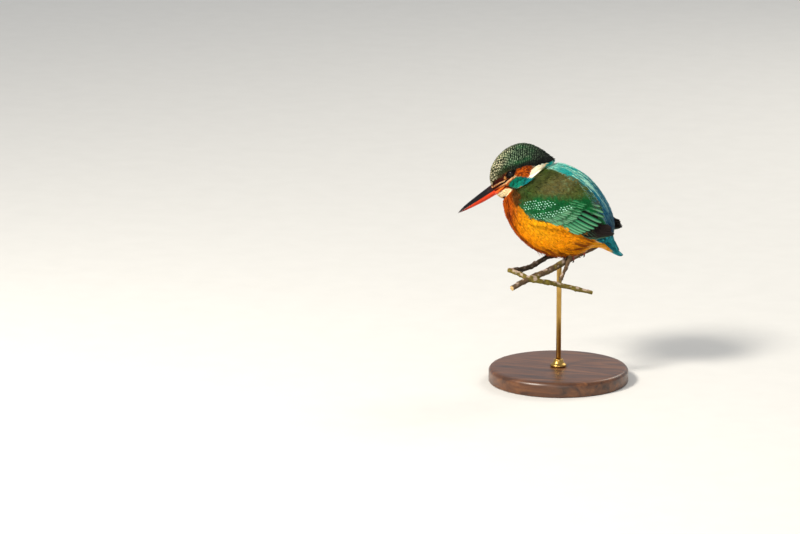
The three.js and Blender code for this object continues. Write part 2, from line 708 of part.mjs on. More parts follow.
const rodTop = onPerch(ROD_PLACE);
function stand() {
  const floor = -GRIP_HEIGHT;
  const profile = [
    [0, 0],
    [BASE_RADIUS - 1.5, 0],
    [BASE_RADIUS, 1.5],
    [BASE_RADIUS, BASE_HEIGHT - 4],
    [BASE_RADIUS - 1.2, BASE_HEIGHT - 1.2],
    [BASE_RADIUS - 4, BASE_HEIGHT],
    [0, BASE_HEIGHT],
  ].map(([x, y]) => new THREE.Vector2(x, y));
  const base = new THREE.LatheGeometry(profile, 40).rotateX(Math.PI / 2);
  base.translate(rodTop.x, rodTop.y, floor);
  const deck = floor + BASE_HEIGHT + GAP;
  const rod = new THREE.CylinderGeometry(ROD_RADIUS, ROD_RADIUS, rodTop.z - deck, 16).rotateX(Math.PI / 2);
  rod.translate(rodTop.x, rodTop.y, (rodTop.z + deck) / 2);
  const bore = ROD_RADIUS + GAP;
  const collarProfile = [
    [bore, 0],
    [6.5, 0],
    [6.5, 1.6],
    [4.6, 3.4],
    [3.4, 6],
    [bore, 6],
    [bore, 0],
  ].map(([x, y]) => new THREE.Vector2(x, y));
  const collar = new THREE.LatheGeometry(collarProfile, 24).rotateX(Math.PI / 2);
  collar.translate(rodTop.x, rodTop.y, deck);
  return [
    node("stand_base", solidOf(base), materials.walnut),
    node("stand_rod", solidOf(rod).subtract(perch(GAP)), materials.brass),
    node("stand_collar", solidOf(collar), materials.brass),
  ];
}

// ---------- materials and assembly ----------

const paint = (color, roughness, metalness = 0) =>
  new THREE.MeshStandardMaterial({ color, roughness, metalness });
const materials = {
  crown: paint(0x12503f, 0.6),
  neck: paint(0xf2dfbd, 0.7),
  torso: paint(0xe07a12, 0.7),
  wing: paint(0x2f7d5c, 0.55),
  tail: paint(0x0f8ea6, 0.5),
  eye: paint(0x0b0706, 0.08),
  upperBill: paint(0x17121a, 0.35),
  lowerBill: paint(0xd9451c, 0.38),
  foot: paint(0xc8401f, 0.5),
  claw: paint(0x1d1412, 0.4),
  bark: paint(0x6e6a3c, 0.85),
  walnut: paint(0x4a2f1d, 0.45),
  brass: paint(0xb08d4c, 0.3, 1),
};

function headNode() {
  let made = headSolid;
  for (const side of [-1, 1]) made = made.add(eyelids(side));
  for (const side of [-1, 1]) made = made.subtract(eyeBall(side, EYE_RADIUS + GAP)).subtract(mouthLine(side));
  return made;
}

const model = new THREE.Group();
const whole = headNode().add(torsoSolid);
const behindHead = halfSpace(...NECK_FRONT, 0);
const behindNeck = halfSpace(...NECK_FRONT, NECK_DEPTH);
model.add(node("head", whole.subtract(behindHead), materials.crown));
model.add(
  node("neck", whole.intersect(halfSpace(...NECK_FRONT, GAP)).subtract(behindNeck), materials.neck),
);
const clearFeet = join([perch(GAP), ...Object.values(FOOT_PLACES).map((foot) => leg(foot, GAP))]);
const torso = whole.intersect(halfSpace(...NECK_FRONT, NECK_DEPTH + GAP)).subtract(clearFeet);
model.add(node("torso", torso, materials.torso));

const clearHead = clear.head;
model.add(
  node(
    "bill_upper",
    mandible(CULMEN, 1).subtract(nostril(-1)).subtract(nostril(1)).subtract(clearHead),
    materials.upperBill,
  ),
);
model.add(node("bill_lower", mandible(GONYS, -1).subtract(clearHead), materials.lowerBill));

for (const [side, word] of [[-1, "left"], [1, "right"]]) {
  model.add(node("eye_" + word, eyeBall(side, EYE_RADIUS), materials.eye));
  model.add(node("wing_" + word, wing(side), materials.wing));
  const foot = FOOT_PLACES[word];
  model.add(node("leg_" + word, leg(foot, 0), materials.foot));
  TOES.forEach((t, i) => model.add(node("claw_" + word + "_" + (i + 1), claw(foot, t), materials.claw)));
}
model.add(node("tail", tail().subtract(clear.torso), materials.tail));
model.add(node("perch", perch(0), materials.bark));
model.add(...stand());
model.position.set(-rodTop.x, -rodTop.y, GRIP_HEIGHT);

export default model;
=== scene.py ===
"""Common kingfisher, an adult female hunched on a cut branch over a turned base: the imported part's looks.

Shapes are worked out in millimetres round the point where the bird grips its branch, with the bird
facing -X and its left side at -Y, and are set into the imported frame, in metres, as they are put in.
"""

import bpy
import numpy as np
from bpy.props import FloatProperty, FloatVectorProperty, PointerProperty
from mathutils import Matrix, Vector


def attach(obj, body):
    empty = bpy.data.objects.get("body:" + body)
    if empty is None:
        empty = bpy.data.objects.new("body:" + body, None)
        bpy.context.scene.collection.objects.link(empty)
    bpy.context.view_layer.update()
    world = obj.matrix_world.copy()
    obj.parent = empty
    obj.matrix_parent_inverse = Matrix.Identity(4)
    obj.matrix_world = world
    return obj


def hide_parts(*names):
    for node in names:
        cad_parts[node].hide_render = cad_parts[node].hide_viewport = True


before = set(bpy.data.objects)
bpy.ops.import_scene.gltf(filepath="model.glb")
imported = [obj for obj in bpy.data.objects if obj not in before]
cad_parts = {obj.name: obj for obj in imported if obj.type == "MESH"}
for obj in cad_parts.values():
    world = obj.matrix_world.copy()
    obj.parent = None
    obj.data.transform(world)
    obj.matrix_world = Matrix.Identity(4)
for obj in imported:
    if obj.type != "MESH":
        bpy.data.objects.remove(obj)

bl_info = {
    "name": "Kingfisher on a branch",
    "version": (1, 0, 0),
    "blender": (4, 5, 0),
    "location": "3D View > Sidebar > Kingfisher",
    "description": "Builds the skin, plumage, bill, eyes, feet, branch and stand of a life-size kingfisher",
    "category": "Add Mesh",
}

MM = 0.001
BODY = "root"  # the part has no joints, so every piece rides on its one body

# ---------- driving sizes, the same as the solids' own ----------

# Torso sections from neck to tail base: belly x, belly z, back x, back z, half width.
TORSO = np.array([
    [-53.0, 50.5, -30.0, 71.5, 12.5],
    [-58.0, 42.0, -16.5, 74.4, 17.5],
    [-57.0, 34.0, -6.5, 72.6, 21.0],
    [-53.8, 26.0, 3.0, 68.4, 23.4],
    [-49.0, 18.4, 11.3, 62.6, 24.8],
    [-41.7, 10.7, 18.6, 55.0, 25.2],
    [-31.5, 4.0, 24.7, 46.0, 24.4],
    [-19.0, 0.5, 29.0, 37.4, 22.0],
    [-6.5, 0.7, 31.3, 29.4, 18.2],
    [4.5, 3.7, 32.0, 23.4, 13.6],
    [13.5, 8.2, 31.6, 19.0, 9.6],
    [19.5, 11.8, 30.0, 16.2, 6.5],
])
# Head sections from bill to nape: chin x, chin z, crown x, crown z, half width.
HEAD = np.array([
    [-63.6, 47.6, -68.6, 54.6, 4.4],
    [-61.0, 44.6, -69.8, 61.8, 7.4],
    [-56.5, 43.4, -68.0, 70.2, 9.9],
    [-50.0, 44.4, -63.0, 78.2, 11.7],
    [-43.0, 47.0, -55.0, 85.2, 13.2],
    [-36.5, 51.5, -45.0, 89.2, 14.2],
    [-30.5, 57.0, -35.0, 88.2, 13.6],
    [-24.8, 64.0, -25.8, 83.3, 10.8],
    [-19.0, 71.0, -17.8, 77.8, 5.6],
])
# The coverts that taper out along the tail, below and above its root.
UNDERTAIL = np.array([
    [2.0, 5.0, 12.0, 18.0, 8.0],
    [12.5, 7.6, 18.5, 19.0, 6.4],
    [21.0, 8.6, 25.0, 15.0, 4.8],
    [29.0, 6.0, 31.0, 9.8, 3.0],
    [34.3, 3.6, 35.0, 5.2, 1.4],
])
UPPERTAIL = np.array([
    [20.0, 22.0, 31.0, 24.6, 9.0],
    [24.3, 17.4, 31.3, 19.8, 8.0],
    [28.2, 13.6, 32.3, 15.4, 6.2],
    [31.9, 10.6, 34.4, 11.9, 4.2],
    [35.6, 7.2, 36.6, 8.0, 2.2],
])
FULLNESS = 0.1  # how much wider a section is towards the belly
WING_RISE = 2.1
WING_RISE_BACK = 1.1
CLOAK_REAR = np.array([
    [-8.0, 0.5, 33.2, 32.0, 19.8],
    [8.0, 8.5, 36.2, 28.8, 17.4],
    [20.5, 14.5, 38.0, 27.0, 15.4],
    [31.6, 19.6, 39.2, 25.6, 13.4],
])
WING_TOP = np.array([[0.05, 52], [0.17, 62], [0.3, 64], [0.42, 65], [0.53, 66], [0.64, 62]])
WING_LOW = np.array([[0.05, -14], [0.12, -19], [0.2, -17], [0.33, -8], [0.47, 6], [0.62, 16]])

BILL_TIP = [-96.9, 28.9]
CULMEN = np.array([[-63.0, 59.4], [-68.6, 54.4], [-80.2, 44.9], [-91.4, 35.2], BILL_TIP])
GAPE = np.array([[-50.0, 61.4], [-61.8, 53.0], [-74.0, 44.5], [-88.0, 34.9], BILL_TIP])
GONYS = np.array([[-56.0, 52.0], [-62.8, 47.6], [-74.5, 40.1], [-88.8, 32.4], BILL_TIP])
BILL_HALF_WIDTH = np.array([5.3, 4.7, 3.2, 1.8, 0.35])[:, None]
NOSTRIL = [-69.8, 3.9, 50.4]

EYE_PLACE = (0.5, 2.0)  # share of the head's length, degrees above its middle line
EYE_SHOWS = 1.35

TAIL_ROOT = [14.0, 0.0, 25.2]
TAIL_TIP = [40.2, 0.0, 3.1]

PERCH_PLAN = np.radians(60.0)
PERCH_RISE = np.radians(12.3)
PERCH_DROP = 0.6
PERCH_RADIUS = 2.7
FOOT_PLACES = {"left": -5.0, "right": 7.5}
GRIP_HEIGHT = 100.0
ROD_PLACE = -17.0
ROD_RADIUS = 2.0
BASE_RADIUS = 56.0
BASE_HEIGHT = 12.0
GAP = 0.3

# The camera looks from the bird's left and a little from behind and above.
CAMERA_TURN = np.radians(17.0)
CAMERA_RISE = np.radians(13.0)
LENS = 200.0  # mm
FILM_WIDTH = 36.0  # mm
FRAME_SIZE = (800, 534)
GRIP_PIXEL = (574, 256)
MM_PER_PIXEL = 0.8


# ---------- colours ----------

def linear(hex_colour):
    """The linear values of an sRGB hex colour, by the sRGB transfer curve."""
    values = np.array([int(hex_colour[i : i + 2], 16) for i in (1, 3, 5)]) / 255
    return np.where(values <= 0.04045, values / 12.92, ((values + 0.055) / 1.055) ** 2.4)


def colour(name, description, hex_colour):
    """A colour for the panel."""
    default = tuple(linear(hex_colour))
    return FloatVectorProperty(
        name=name, description=description, subtype="COLOR", size=3, min=0, max=1, default=default
    )


def length(name, description, millimetres):
    """A length for the panel, whose default is given in millimetres."""
    return FloatProperty(
        name=name, description=description, default=millimetres * MM, min=0, unit="LENGTH", subtype="DISTANCE"
    )


class KingfisherColours(bpy.types.PropertyGroup):
    """Colours of the plumage and the bare parts."""

    crown: colour("Crown", "Deep emerald ground of the crown feathers", "#041C10")
    forehead: colour("Forehead", "Dark olive ground over the bill", "#0D0F07")
    nape: colour("Nape", "Blackish green of the nape", "#020B07")
    crown_bar: colour("Crown bars", "Pale sea green bars across the crown", "#86A480")
    forehead_bar: colour("Forehead bars", "Whitish olive bars over the bill", "#E2DAB2")
    lore: colour("Lore", "Dark reddish brown between bill and eye", "#4A120A")
    lore_spot: colour("Lore spot", "Rufous spot in front of the eye", "#D29A55")
    eye_ring: colour("Eye surround", "Black feathers round the eye", "#050403")
    ear: colour("Ear patch", "Rust orange behind the eye", "#D8660C")
    nape_patch: colour("Neck patch", "Cream white patch on the neck's side", "#FFF8DE")
    malar: colour("Malar stripe", "Deep turquoise below the ear patch", "#04866E")
    throat: colour("Throat", "Cream of the chin and throat", "#FFF1C6")
    gape_line: colour("Gape line", "Cream line from the bill's corner below the eye", "#F6C88E")
    rust: colour("Rust breast", "Rust orange of the upper breast", "#C8590B")
    russet: colour("Russet streaks", "Dark streaks of the breast", "#6E2604")
    amber: colour("Amber flank", "Bright orange of flank and belly", "#FFA200")
    # the throat's yellowest feathers, and a painted highlight where the light falls full on the flank
    saffron_and_highlight: colour("Saffron flank", "Yellowest feathers below the wing", "#FFBC10")
    # painted shade: the orange darkened to brown under the belly by the branch, round the vent and at the
    # undertail's root
    umber_shade: colour("Brown belly", "Browner feathers near the branch", "#84380A")
    vent: colour("Undertail", "Orange of the undertail coverts", "#FFB01C")
    vent_tip: colour("Undertail tips", "Creamy tips of the undertail coverts", "#FFD692")
    # the upper back's own palest turquoise, with painted sheen
    back_pale_and_sheen: colour("Back streaks", "Palest turquoise of the upper back", "#C8FFE6")
    back_turquoise: colour("Back stripe", "Turquoise of the upper back", "#22B8B0")
    back_azure: colour("Lower back", "Azure of the lower back", "#04749A")
    back_cobalt: colour("Rump", "Cobalt blue of the rump", "#0A345C")
    olive: colour("Shoulder", "Olive green of mantle and scapulars", "#4C6026")
    olive_brown: colour("Shoulder shade", "Brown of the middle of the shoulder", "#6C663A")
    neck_brown: colour("Neck side", "Dark brown in front of the shoulder", "#5E380C")
    emerald: colour("Wing coverts", "Emerald green of the coverts", "#066A34")
    covert_spot: colour("Covert spots", "Pale turquoise spots on the covert tips", "#A4DCC4")
    sage: colour("Greater coverts", "Dull grey green of the greater coverts", "#568464")
    secondary: colour("Secondaries", "Sea green of the secondaries' outer webs", "#30865A")
    secondary_edge: colour("Secondary edges", "Paler edges of the outer webs", "#84C094")
    secondary_dark: colour("Inner webs", "Dark inner webs of the flight feathers", "#060B08")
    primary: colour("Primaries", "Dark brown of the primaries", "#120705")
    tail_blue: colour("Tail", "Teal blue of the tail feathers", "#0A98A2")
    # painted highlight: lighter teal streaks and bands on tail and coverts
    tail_highlight: colour("Tail gloss", "Lighter streaks of the tail feathers", "#58D8DC")
    tail_shaft: colour("Tail shafts", "Dark shafts and edges of the tail", "#05283A")
    horn_black: colour("Upper bill", "Black horn", "#0A070C")
    horn_red: colour("Lower bill", "Orange red horn", "#C4340A")
    foot: colour("Foot", "Dull sealing-wax red of the toes", "#8A3218")
    claw: colour("Claw", "Blackish horn", "#1A1210")


class KingfisherSizes(bpy.types.PropertyGroup):
    """Sizes of the coat and of the bare parts."""

    coat_depth: length("Coat depth", "How far the skin lies inside the coat's outside", 1.2)
    body_feather: length("Body feather", "Length of a breast feather", 8.8)
    body_spacing: length("Body spacing", "Distance between breast feathers", 1.53)
    face_feather: length("Face feather", "Length of a cheek feather", 2.9)
    face_spacing: length("Face spacing", "Distance between cheek feathers", 0.72)
    crown_feather: length("Crown feather", "Length of a crown feather", 5.2)
    crown_row: length("Crown rows", "Distance between the rows of bars", 1.85)
    barb_clump: length("Barb clump", "Half width of one clump of barbs", 0.19)
    eye_radius: length("Eye radius", "Radius of the eyeball", 2.9)
    skin_voxel: length("Skin grain", "Size of the skin's mesh", 0.8)
    floor_size: length("Floor", "Width of the floor", 30000)


def chosen(name):
    """A length of the add-on's panel, in millimetres."""
    return getattr(bpy.context.scene.kingfisher_sizes, name) / MM


def paint(name):
    """A colour of the add-on's panel, as linear values."""
    return np.array(getattr(bpy.context.scene.kingfisher_colours, name))


# ---------- numbers ----------

def size_of(vectors):
    """The lengths of vectors."""
    return np.linalg.norm(vectors, axis=-1)


def unit(vectors):
    """Vectors of length 1 that point the same way."""
    return vectors / np.maximum(size_of(vectors), 1e-9)[..., None]


def ramp(low, high, values):
    """A smooth step from 0 at low to 1 at high."""
    f = np.clip((values - low) / (high - low), 0, 1)
    return f * f * (3 - 2 * f)


def hump(values, middle, width):
    """1 at the middle value, falling off to both sides as a bell curve of the given width."""
    return np.exp(-(((values - middle) / width) ** 2))


def blend(a, b, share):
    """From colour a to colour b by a share for each point."""
    share = np.asarray(share)[..., None]
    return a * (1 - share) + b * share


def noise(points, grain, seed=0):
    """Smooth noise from -1 to 1: random values on a lattice of the given grain, eased between its corners."""
    scaled = points / grain
    cell = np.floor(scaled)
    f = scaled - cell
    f = f * f * (3 - 2 * f)
    total = 0.0
    for corner in np.ndindex(2, 2, 2):
        at = cell + corner
        hashed = np.sin(at @ np.array([127.1, 311.7, 74.7]) + seed * 17.3) * 43758.5453
        weight = np.prod(np.where(corner, f, 1 - f), axis=-1)
        total = total + weight * (hashed - np.floor(hashed))
    return 2 * total - 1


def along(rows, t):
    """Catmull-Rom through rows at share t of their length, carried straight on past both ends."""
    t = np.asarray(t, float)
    last = len(rows) - 1
    inside = np.clip(t, 0, 1)
    i = np.minimum((inside * last).astype(int), last - 1)
    f = (inside * last - i)[..., None]
    a, b, c, d = (rows[np.clip(i + k, 0, last)] for k in (-1, 0, 1, 2))
    m1, m2 = (c - a) / 2, (d - b) / 2
    place = (2 * f**3 - 3 * f**2 + 1) * b + (f**3 - 2 * f**2 + f) * m1
    place = place + (3 * f**2 - 2 * f**3) * c + (f**3 - f**2) * m2
    slope = (6 * f**2 - 6 * f) * (b - c) + (3 * f**2 - 4 * f + 1) * m1 + (3 * f**2 - 2 * f) * m2
    return place + slope * last * (t - inside)[..., None]


def raise_all(sections, rise, back_rise=None):
    """Sections with their belly end and half width moved out by rise and their back end by back_rise."""
    back_rise = rise if back_rise is None else back_rise
    low, high = sections[:, 0:2], sections[:, 2:4]
    line = unit(high - low)
    return np.hstack([low - line * rise, high + line * back_rise, sections[:, 4:] + rise])


def height_of(a):
    """Degrees above the body's middle for an angle round it, alike on both sides."""
    return np.degrees(np.arcsin(np.sin(a)))


def on_side(side, a):
    """An angle on the bird's left, or its mirror image on the right, where side is 1."""
    return a if side < 0 else np.pi - a


def side_span(side, low, high):
    """Two heights in degrees as a span of angles on one side."""
    ends = np.radians([low, high])
    return ends if side < 0 else np.pi - ends[::-1]


CLOAK = np.vstack([raise_all(TORSO[1:8], WING_RISE, WING_RISE_BACK), CLOAK_REAR])
# The back's feathers bridge the two folded wings, so they lie as high as the wings do.
BACK_RISE = np.array([0.3, 0.8, 1, 1, 1, 1, 1, 1, 0.8, 0.5, 0.2, 0])[:, None]
BACK = raise_all(TORSO, WING_RISE * BACK_RISE, WING_RISE_BACK * BACK_RISE)


def on_body(sections, t, a):
    """A lofted body's point: middle of the section at t, plus sin a of its half height towards the back,
    and cos a of its half width to the left, a little more towards the belly. 90 degrees is the back."""
    low_x, low_z, high_x, high_z, half = np.moveaxis(along(sections, t), -1, 0)
    s = np.sin(a)
    x = (low_x + high_x) / 2 + (high_x - low_x) / 2 * s
    y = -half * np.cos(a) * (1 - FULLNESS * s)
    return np.stack([x, y, (low_z + high_z) / 2 + (high_z - low_z) / 2 * s], -1)


def lie_of(sections, t, a):
    """Place, lengthwise and roundwise slopes and outward normal of a lofted body, by differences."""
    step = 1e-3
    place = on_body(sections, t, a)
    lengthwise = (on_body(sections, t + step, a) - on_body(sections, t - step, a)) / (2 * step)
    roundwise = (on_body(sections, t, a + step) - on_body(sections, t, a - step)) / (2 * step)
    return place, lengthwise, roundwise, unit(np.cross(lengthwise, roundwise))


def spans(sections, t, a):
    """Millimetres to the whole of a body's length, and to a radian round it, at places on it."""
    _, lengthwise, roundwise, _ = lie_of(sections, t, a)
    return size_of(lengthwise), size_of(roundwise)


def locate(sections, points):
    """Share of length, angle and reach of points in a lofted body. A point's section is the one whose line
    passes through it, found by the change of sign of their cross product, and its reach is 1 on the
    surface."""
    shares = np.linspace(-0.04, 1.04, 109)
    rows = along(sections, shares)
    low, line = rows[:, 0:2], rows[:, 2:4] - rows[:, 0:2]
    t, found = np.zeros(len(points)), np.zeros(len(points), bool)
    for block in np.array_split(np.arange(len(points)), len(points) // 20000 + 1):
        x, z = points[block, 0, None] - low[:, 0], points[block, 2, None] - low[:, 1]
        off = line[:, 0] * z - line[:, 1] * x
        height = np.abs(2 * (x * line[:, 0] + z * line[:, 1]) / (line**2).sum(-1) - 1)
        crossed = (off[:, :-1] > 0) != (off[:, 1:] > 0)
        cost = np.where(crossed, height[:, :-1], 99.0)
        k = cost.argmin(1)
        found[block] = cost.min(1) < 99
        before, after = off[np.arange(len(block)), k], off[np.arange(len(block)), k + 1]
        gap = np.where(before == after, 1, before - after)
        t[block] = shares[k] + np.clip(before / gap, 0, 1) * (shares[1] - shares[0])
    low_x, low_z, high_x, high_z, half = along(sections, t).T
    line_x, line_z = high_x - low_x, high_z - low_z
    s = 2 * ((points[:, 0] - low_x) * line_x + (points[:, 2] - low_z) * line_z) / (line_x**2 + line_z**2) - 1
    c = -points[:, 1] / (half * (1 - FULLNESS * np.clip(s, -1, 1)))
    reach = np.where(found, np.hypot(s, c), 9.0)
    return t, np.arctan2(s, c), reach


def over_body(sections, points):
    """For points near a body: share of length, reach, the surface's point and normal, and the height over
    it."""
    t, a, reach = locate(sections, points)
    surface, _, _, outward = lie_of(sections, t, a)
    return t, reach, surface, outward, np.einsum("ij,ij->i", points - surface, outward)


def settle(sections, places, normals, lift):
    """Points that have sunk below lift over a body are set back to it, and their normals turn to its own."""
    flat = places.reshape(-1, 3)
    t, reach, surface, outward, height = over_body(sections, flat)
    near = (reach < 1.25) & (t > -0.02) & (t < 1.02)
    sunk = near & (height < lift)
    flat = np.where(sunk[:, None], surface + outward * lift, flat)
    turned = np.where(near, ramp(3.0, 0.0, height - lift), 0)
    turned_normals = unit(blend(normals.reshape(-1, 3), outward, turned))
    return flat.reshape(places.shape), turned_normals.reshape(normals.shape)


def edge_distance(flat, start, edge):
    """Distance from points to the nearest of some edge lines, given by their starts and their vectors."""
    to_point = flat[:, None] - start
    share = np.clip((to_point * edge).sum(-1) / (edge**2).sum(-1), 0, 1)
    return size_of(to_point - share[..., None] * edge).min(1)


def within(outline, flat, blur):
    """Share from 0 outside to 1 inside a closed outline, for x and z, eased over blur millimetres at its
    edge: the side by counting crossings, the distance to the nearest edge line."""
    start = np.array(outline, float)
    end = np.roll(start, -1, axis=0)
    edge = end - start
    x, z = flat[:, 0, None], flat[:, 1, None]
    crossed = (start[:, 1] > z) != (end[:, 1] > z)
    rise = np.where(edge[:, 1] == 0, 1, edge[:, 1])
    crossing = start[:, 0] + (z - start[:, 1]) / rise * edge[:, 0]
    inside = (crossed & (x < crossing)).sum(1) % 2 == 1
    distance = edge_distance(flat, start, edge)
    return ramp(-blur, blur, np.where(inside, distance, -distance))


# ---------- markings ----------

# Outlines on the side of the face, x and z.
CROWN_OUTLINE = [
    (-74, 48), (-68.5, 53.2), (-65.3, 57.2), (-61.6, 61.7), (-55.2, 65.6), (-51.3, 68.8), (-47.7, 69.8),
    (-44.2, 71.0), (-38.2, 73.5), (-34.2, 74.7), (-29.3, 73.8), (-25.1, 75.7), (-20.9, 76.4), (-14, 77.5),
    (-12, 96), (-70, 100), (-84, 60),
]
LORE_OUTLINE = [
    (-68.4, 54), (-65.6, 58.2), (-62, 62.6), (-55.4, 66.6), (-52, 64), (-52.6, 62.6), (-57.3, 59.6),
    (-63, 55.9),
]
LORE_SPOT_OUTLINE = [(-55.2, 62.2), (-54.9, 64.3), (-52.7, 63.8), (-53.1, 61.7)]
EYE_OUTLINE = [
    (-54, 66.2), (-51.3, 68.8), (-47.7, 70.2), (-44.0, 71.8), (-44.8, 68.8), (-46.5, 66), (-49.3, 62.9),
    (-52.8, 62.6),
]
EAR_OUTLINE = [
    (-45, 66.3), (-43.7, 70.4), (-38.2, 73.6), (-34.2, 74.8), (-31.6, 73.4), (-32.5, 70.2), (-33.5, 65.3),
    (-38.5, 65.2),
]
NAPE_PATCH_OUTLINE = [
    (-33.5, 65.5), (-32.5, 69.8), (-30.9, 72.3), (-29.3, 73.6), (-25.1, 75.7), (-20.6, 76.2), (-23.1, 72.6),
    (-26.7, 68.7), (-30.3, 65.5),
]
MALAR_OUTLINE = [
    (-51.9, 56.8), (-48.5, 61.3), (-44.1, 65.1), (-36.5, 65.9), (-32.5, 66.2), (-28.6, 66.0), (-24.2, 66.6),
    (-26.6, 63.6), (-31.0, 61.0), (-35.1, 59.7), (-38.6, 58.8), (-42.1, 56.6), (-45.5, 56.0), (-48.9, 55.6),
]
THROAT_OUTLINE = [
    (-63.4, 47.6), (-57.9, 51.1), (-54.1, 54.0), (-47.9, 54.4), (-49.6, 51.2), (-52.7, 46.4), (-56, 43.8),
    (-60, 41.8), (-66, 43),
]
# Painted shadow under the chin: a dark brown mark at the bottom of the throat.
CHIN_SHADOW_OUTLINE = [(-57.6, 46), (-55.4, 47.2), (-53.6, 46.2), (-55.2, 43.6), (-58, 43.8)]
GAPE_LINE_OUTLINE = [
    (-62.4, 53.3), (-55.1, 58.2), (-51.1, 61.5), (-48.4, 64.0), (-45.2, 66.5), (-43.6, 65.4), (-47.1, 63.3),
    (-50.4, 60.5), (-54.8, 56.6), (-60.8, 52.4),
]
CORNER_OUTLINE = [
    (-67, 49.8), (-61.6, 53.4), (-55.0, 57.2), (-54.6, 55.2), (-57.9, 52.2), (-63.6, 47.9), (-68, 44),
]
# Lines of the face, x and z, and their half widths.
UPPER_LINE = ([(-67.5, 52.9), (-63.0, 55.9), (-56.9, 59.3), (-54.6, 60.5)], 0.42)
DARK_LINE = ([(-67, 51.2), (-61.6, 54.7), (-56.1, 58.6), (-51.2, 62.0)], 0.75)
UNDER_LINE = ([(-55.3, 54.6), (-52.6, 56.2), (-49.0, 55.2), (-45.5, 55.4), (-42, 56)], 0.55)
CROWN_MARGIN = 7.0  # millimetres over which the crown brightens from its outline inwards


def beside(line, flat, blur):
    """Share from 1 within a line's half width to 0 outside it, for x and z, eased over blur."""
    stops, half_width = np.array(line[0]), line[1]
    distance = edge_distance(flat, stops[:-1], np.diff(stops, axis=0))
    return ramp(half_width + blur, half_width - blur, distance)


def head_colours(points):
    """Face and crown colours by x and z, each marking over the last, with edges as soft as a feather is
    wide."""
    x = points[:, 0] + 0.25 * noise(points, 1.4, 3)
    z = points[:, 2] + 0.25 * noise(points, 1.4, 5)
    flat = np.stack([x, z], -1)
    made = blend(paint("rust"), paint("russet"), 0.5 * ramp(-0.3, 0.6, noise(points, 1.5, 7)))
    behind = ramp(-33, -29, x) * ramp(57, 62, z)
    made = blend(made, blend(paint("olive"), paint("back_turquoise"), ramp(72, 75, z)), behind)
    ground = blend(paint("forehead"), paint("crown"), ramp(-64, -50, x))
    ground = blend(ground, paint("nape"), ramp(-44, -28, x))
    margin = ramp(0.7, 1.0, within(CROWN_OUTLINE, flat, CROWN_MARGIN))
    ground = ground * (0.2 + 0.8 * np.maximum(margin, ramp(-57, -63, x)))[:, None]
    malar = blend(paint("malar"), paint("back_azure"), 0.45 * ramp(-42, -32, x))
    malar = blend(malar, paint("crown"), 0.7 * ramp(-0.1, 0.5, noise(points, 1.3, 8)))
    # the ear patch's own dark streaks, and painted shadow where the crown overhangs its top
    ear_streaks_and_shade = noise(points, 1.0, 9) + 0.5 * ramp(69, 73, z)
    ear = blend(paint("ear"), paint("russet") * 0.7, 0.85 * ramp(0.0, 0.5, ear_streaks_and_shade))
    gape = blend(paint("rust") * 1.2, paint("gape_line"), ramp(-62, -53, x))
    throat = blend(paint("throat") * 1.2, paint("saffron_and_highlight"), 0.45 * ramp(48, 44.5, z))
    patch = blend(paint("nape_patch") * 1.2, paint("gape_line"), ramp(-25, -21, x))
    for mark, blur, marking in (
        (THROAT_OUTLINE, 0.4, throat),
        (UNDER_LINE, 0.3, paint("nape")),
        (MALAR_OUTLINE, 0.3, malar),
        (CROWN_OUTLINE, 0.3, ground),
        (EAR_OUTLINE, 0.3, ear),
        (NAPE_PATCH_OUTLINE, 0.3, patch),
        (LORE_OUTLINE, 0.3, paint("lore")),
        (DARK_LINE, 0.2, paint("eye_ring")),
        (UPPER_LINE, 0.15, paint("gape_line")),
        (CORNER_OUTLINE, 0.2, paint("horn_red") * 0.7),
        (GAPE_LINE_OUTLINE, 0.15, gape),
        (EYE_OUTLINE, 0.3, paint("eye_ring")),
        (LORE_SPOT_OUTLINE, 0.25, paint("lore_spot")),
        # painted shadow under the chin
        (CHIN_SHADOW_OUTLINE, 0.4, paint("russet") * 0.4),
    ):
        measure = beside if isinstance(mark, tuple) else within
        made = blend(made, marking, measure(mark, flat, blur))
    return made


def streaks(t, a, long, wide, seed):
    """Noise drawn out along the body: about long by wide millimetres a streak, for a body of mean size."""
    mean_length, mean_radius = 95.0, 22.0
    height = np.arcsin(np.sin(a))
    side = np.where(np.cos(a) > 0, 0, 50)
    around = height * mean_radius / wide + side
    return noise(np.stack([t * mean_length / long, around, 0 * t + seed], -1), 1.0, seed)


def over_tail(points):
    """Places from the tail's root: along its feathers and above their plane, in millimetres."""
    forward = unit(np.array(TAIL_TIP) - TAIL_ROOT)
    from_root = points - TAIL_ROOT
    return from_root @ forward, from_root @ np.array([-forward[2], 0, forward[0]])


def tail_covert_colours(points):
    """Teal with darker streaks, and lighter streaks of painted highlight, of about 7 by 0.8 millimetres along
    the tail.
    """
    down, above = over_tail(points)
    lines = noise(np.stack([down / 7, points[:, 1] / 0.8, above / 1.5], -1), 1.0, 4)
    made = blend(paint("tail_blue"), paint("tail_highlight"), 0.7 * ramp(0.05, 0.5, lines))
    return blend(made, paint("tail_shaft"), 0.8 * ramp(-0.05, -0.5, lines))


def stripe_colours(t, a):
    """The back's stripe: pale turquoise streaks in front, the feathers' own pale turquoise with painted
    sheen, through azure to the rump's cobalt.
    """
    made = blend(paint("back_turquoise"), paint("back_azure"), ramp(0.22, 0.55, t))
    made = blend(made, paint("back_cobalt"), ramp(0.5, 0.8, t))
    dark = ramp(-0.1, 0.6, streaks(t, a, 8, 0.9, 14))
    made = blend(made, paint("back_cobalt") * 0.6, 0.6 * dark * ramp(0.1, 0.5, t))
    # the pale streaks and the pale front: the upper back's own pale turquoise, with painted sheen
    light = ramp(0.05, 0.5, streaks(t, a, 9, 0.6, 15))
    light = np.maximum(light, 0.7 * ramp(0.2, 0.03, t))
    return blend(made, paint("back_pale_and_sheen"), light * (0.95 - 0.75 * ramp(0.2, 0.7, t)))


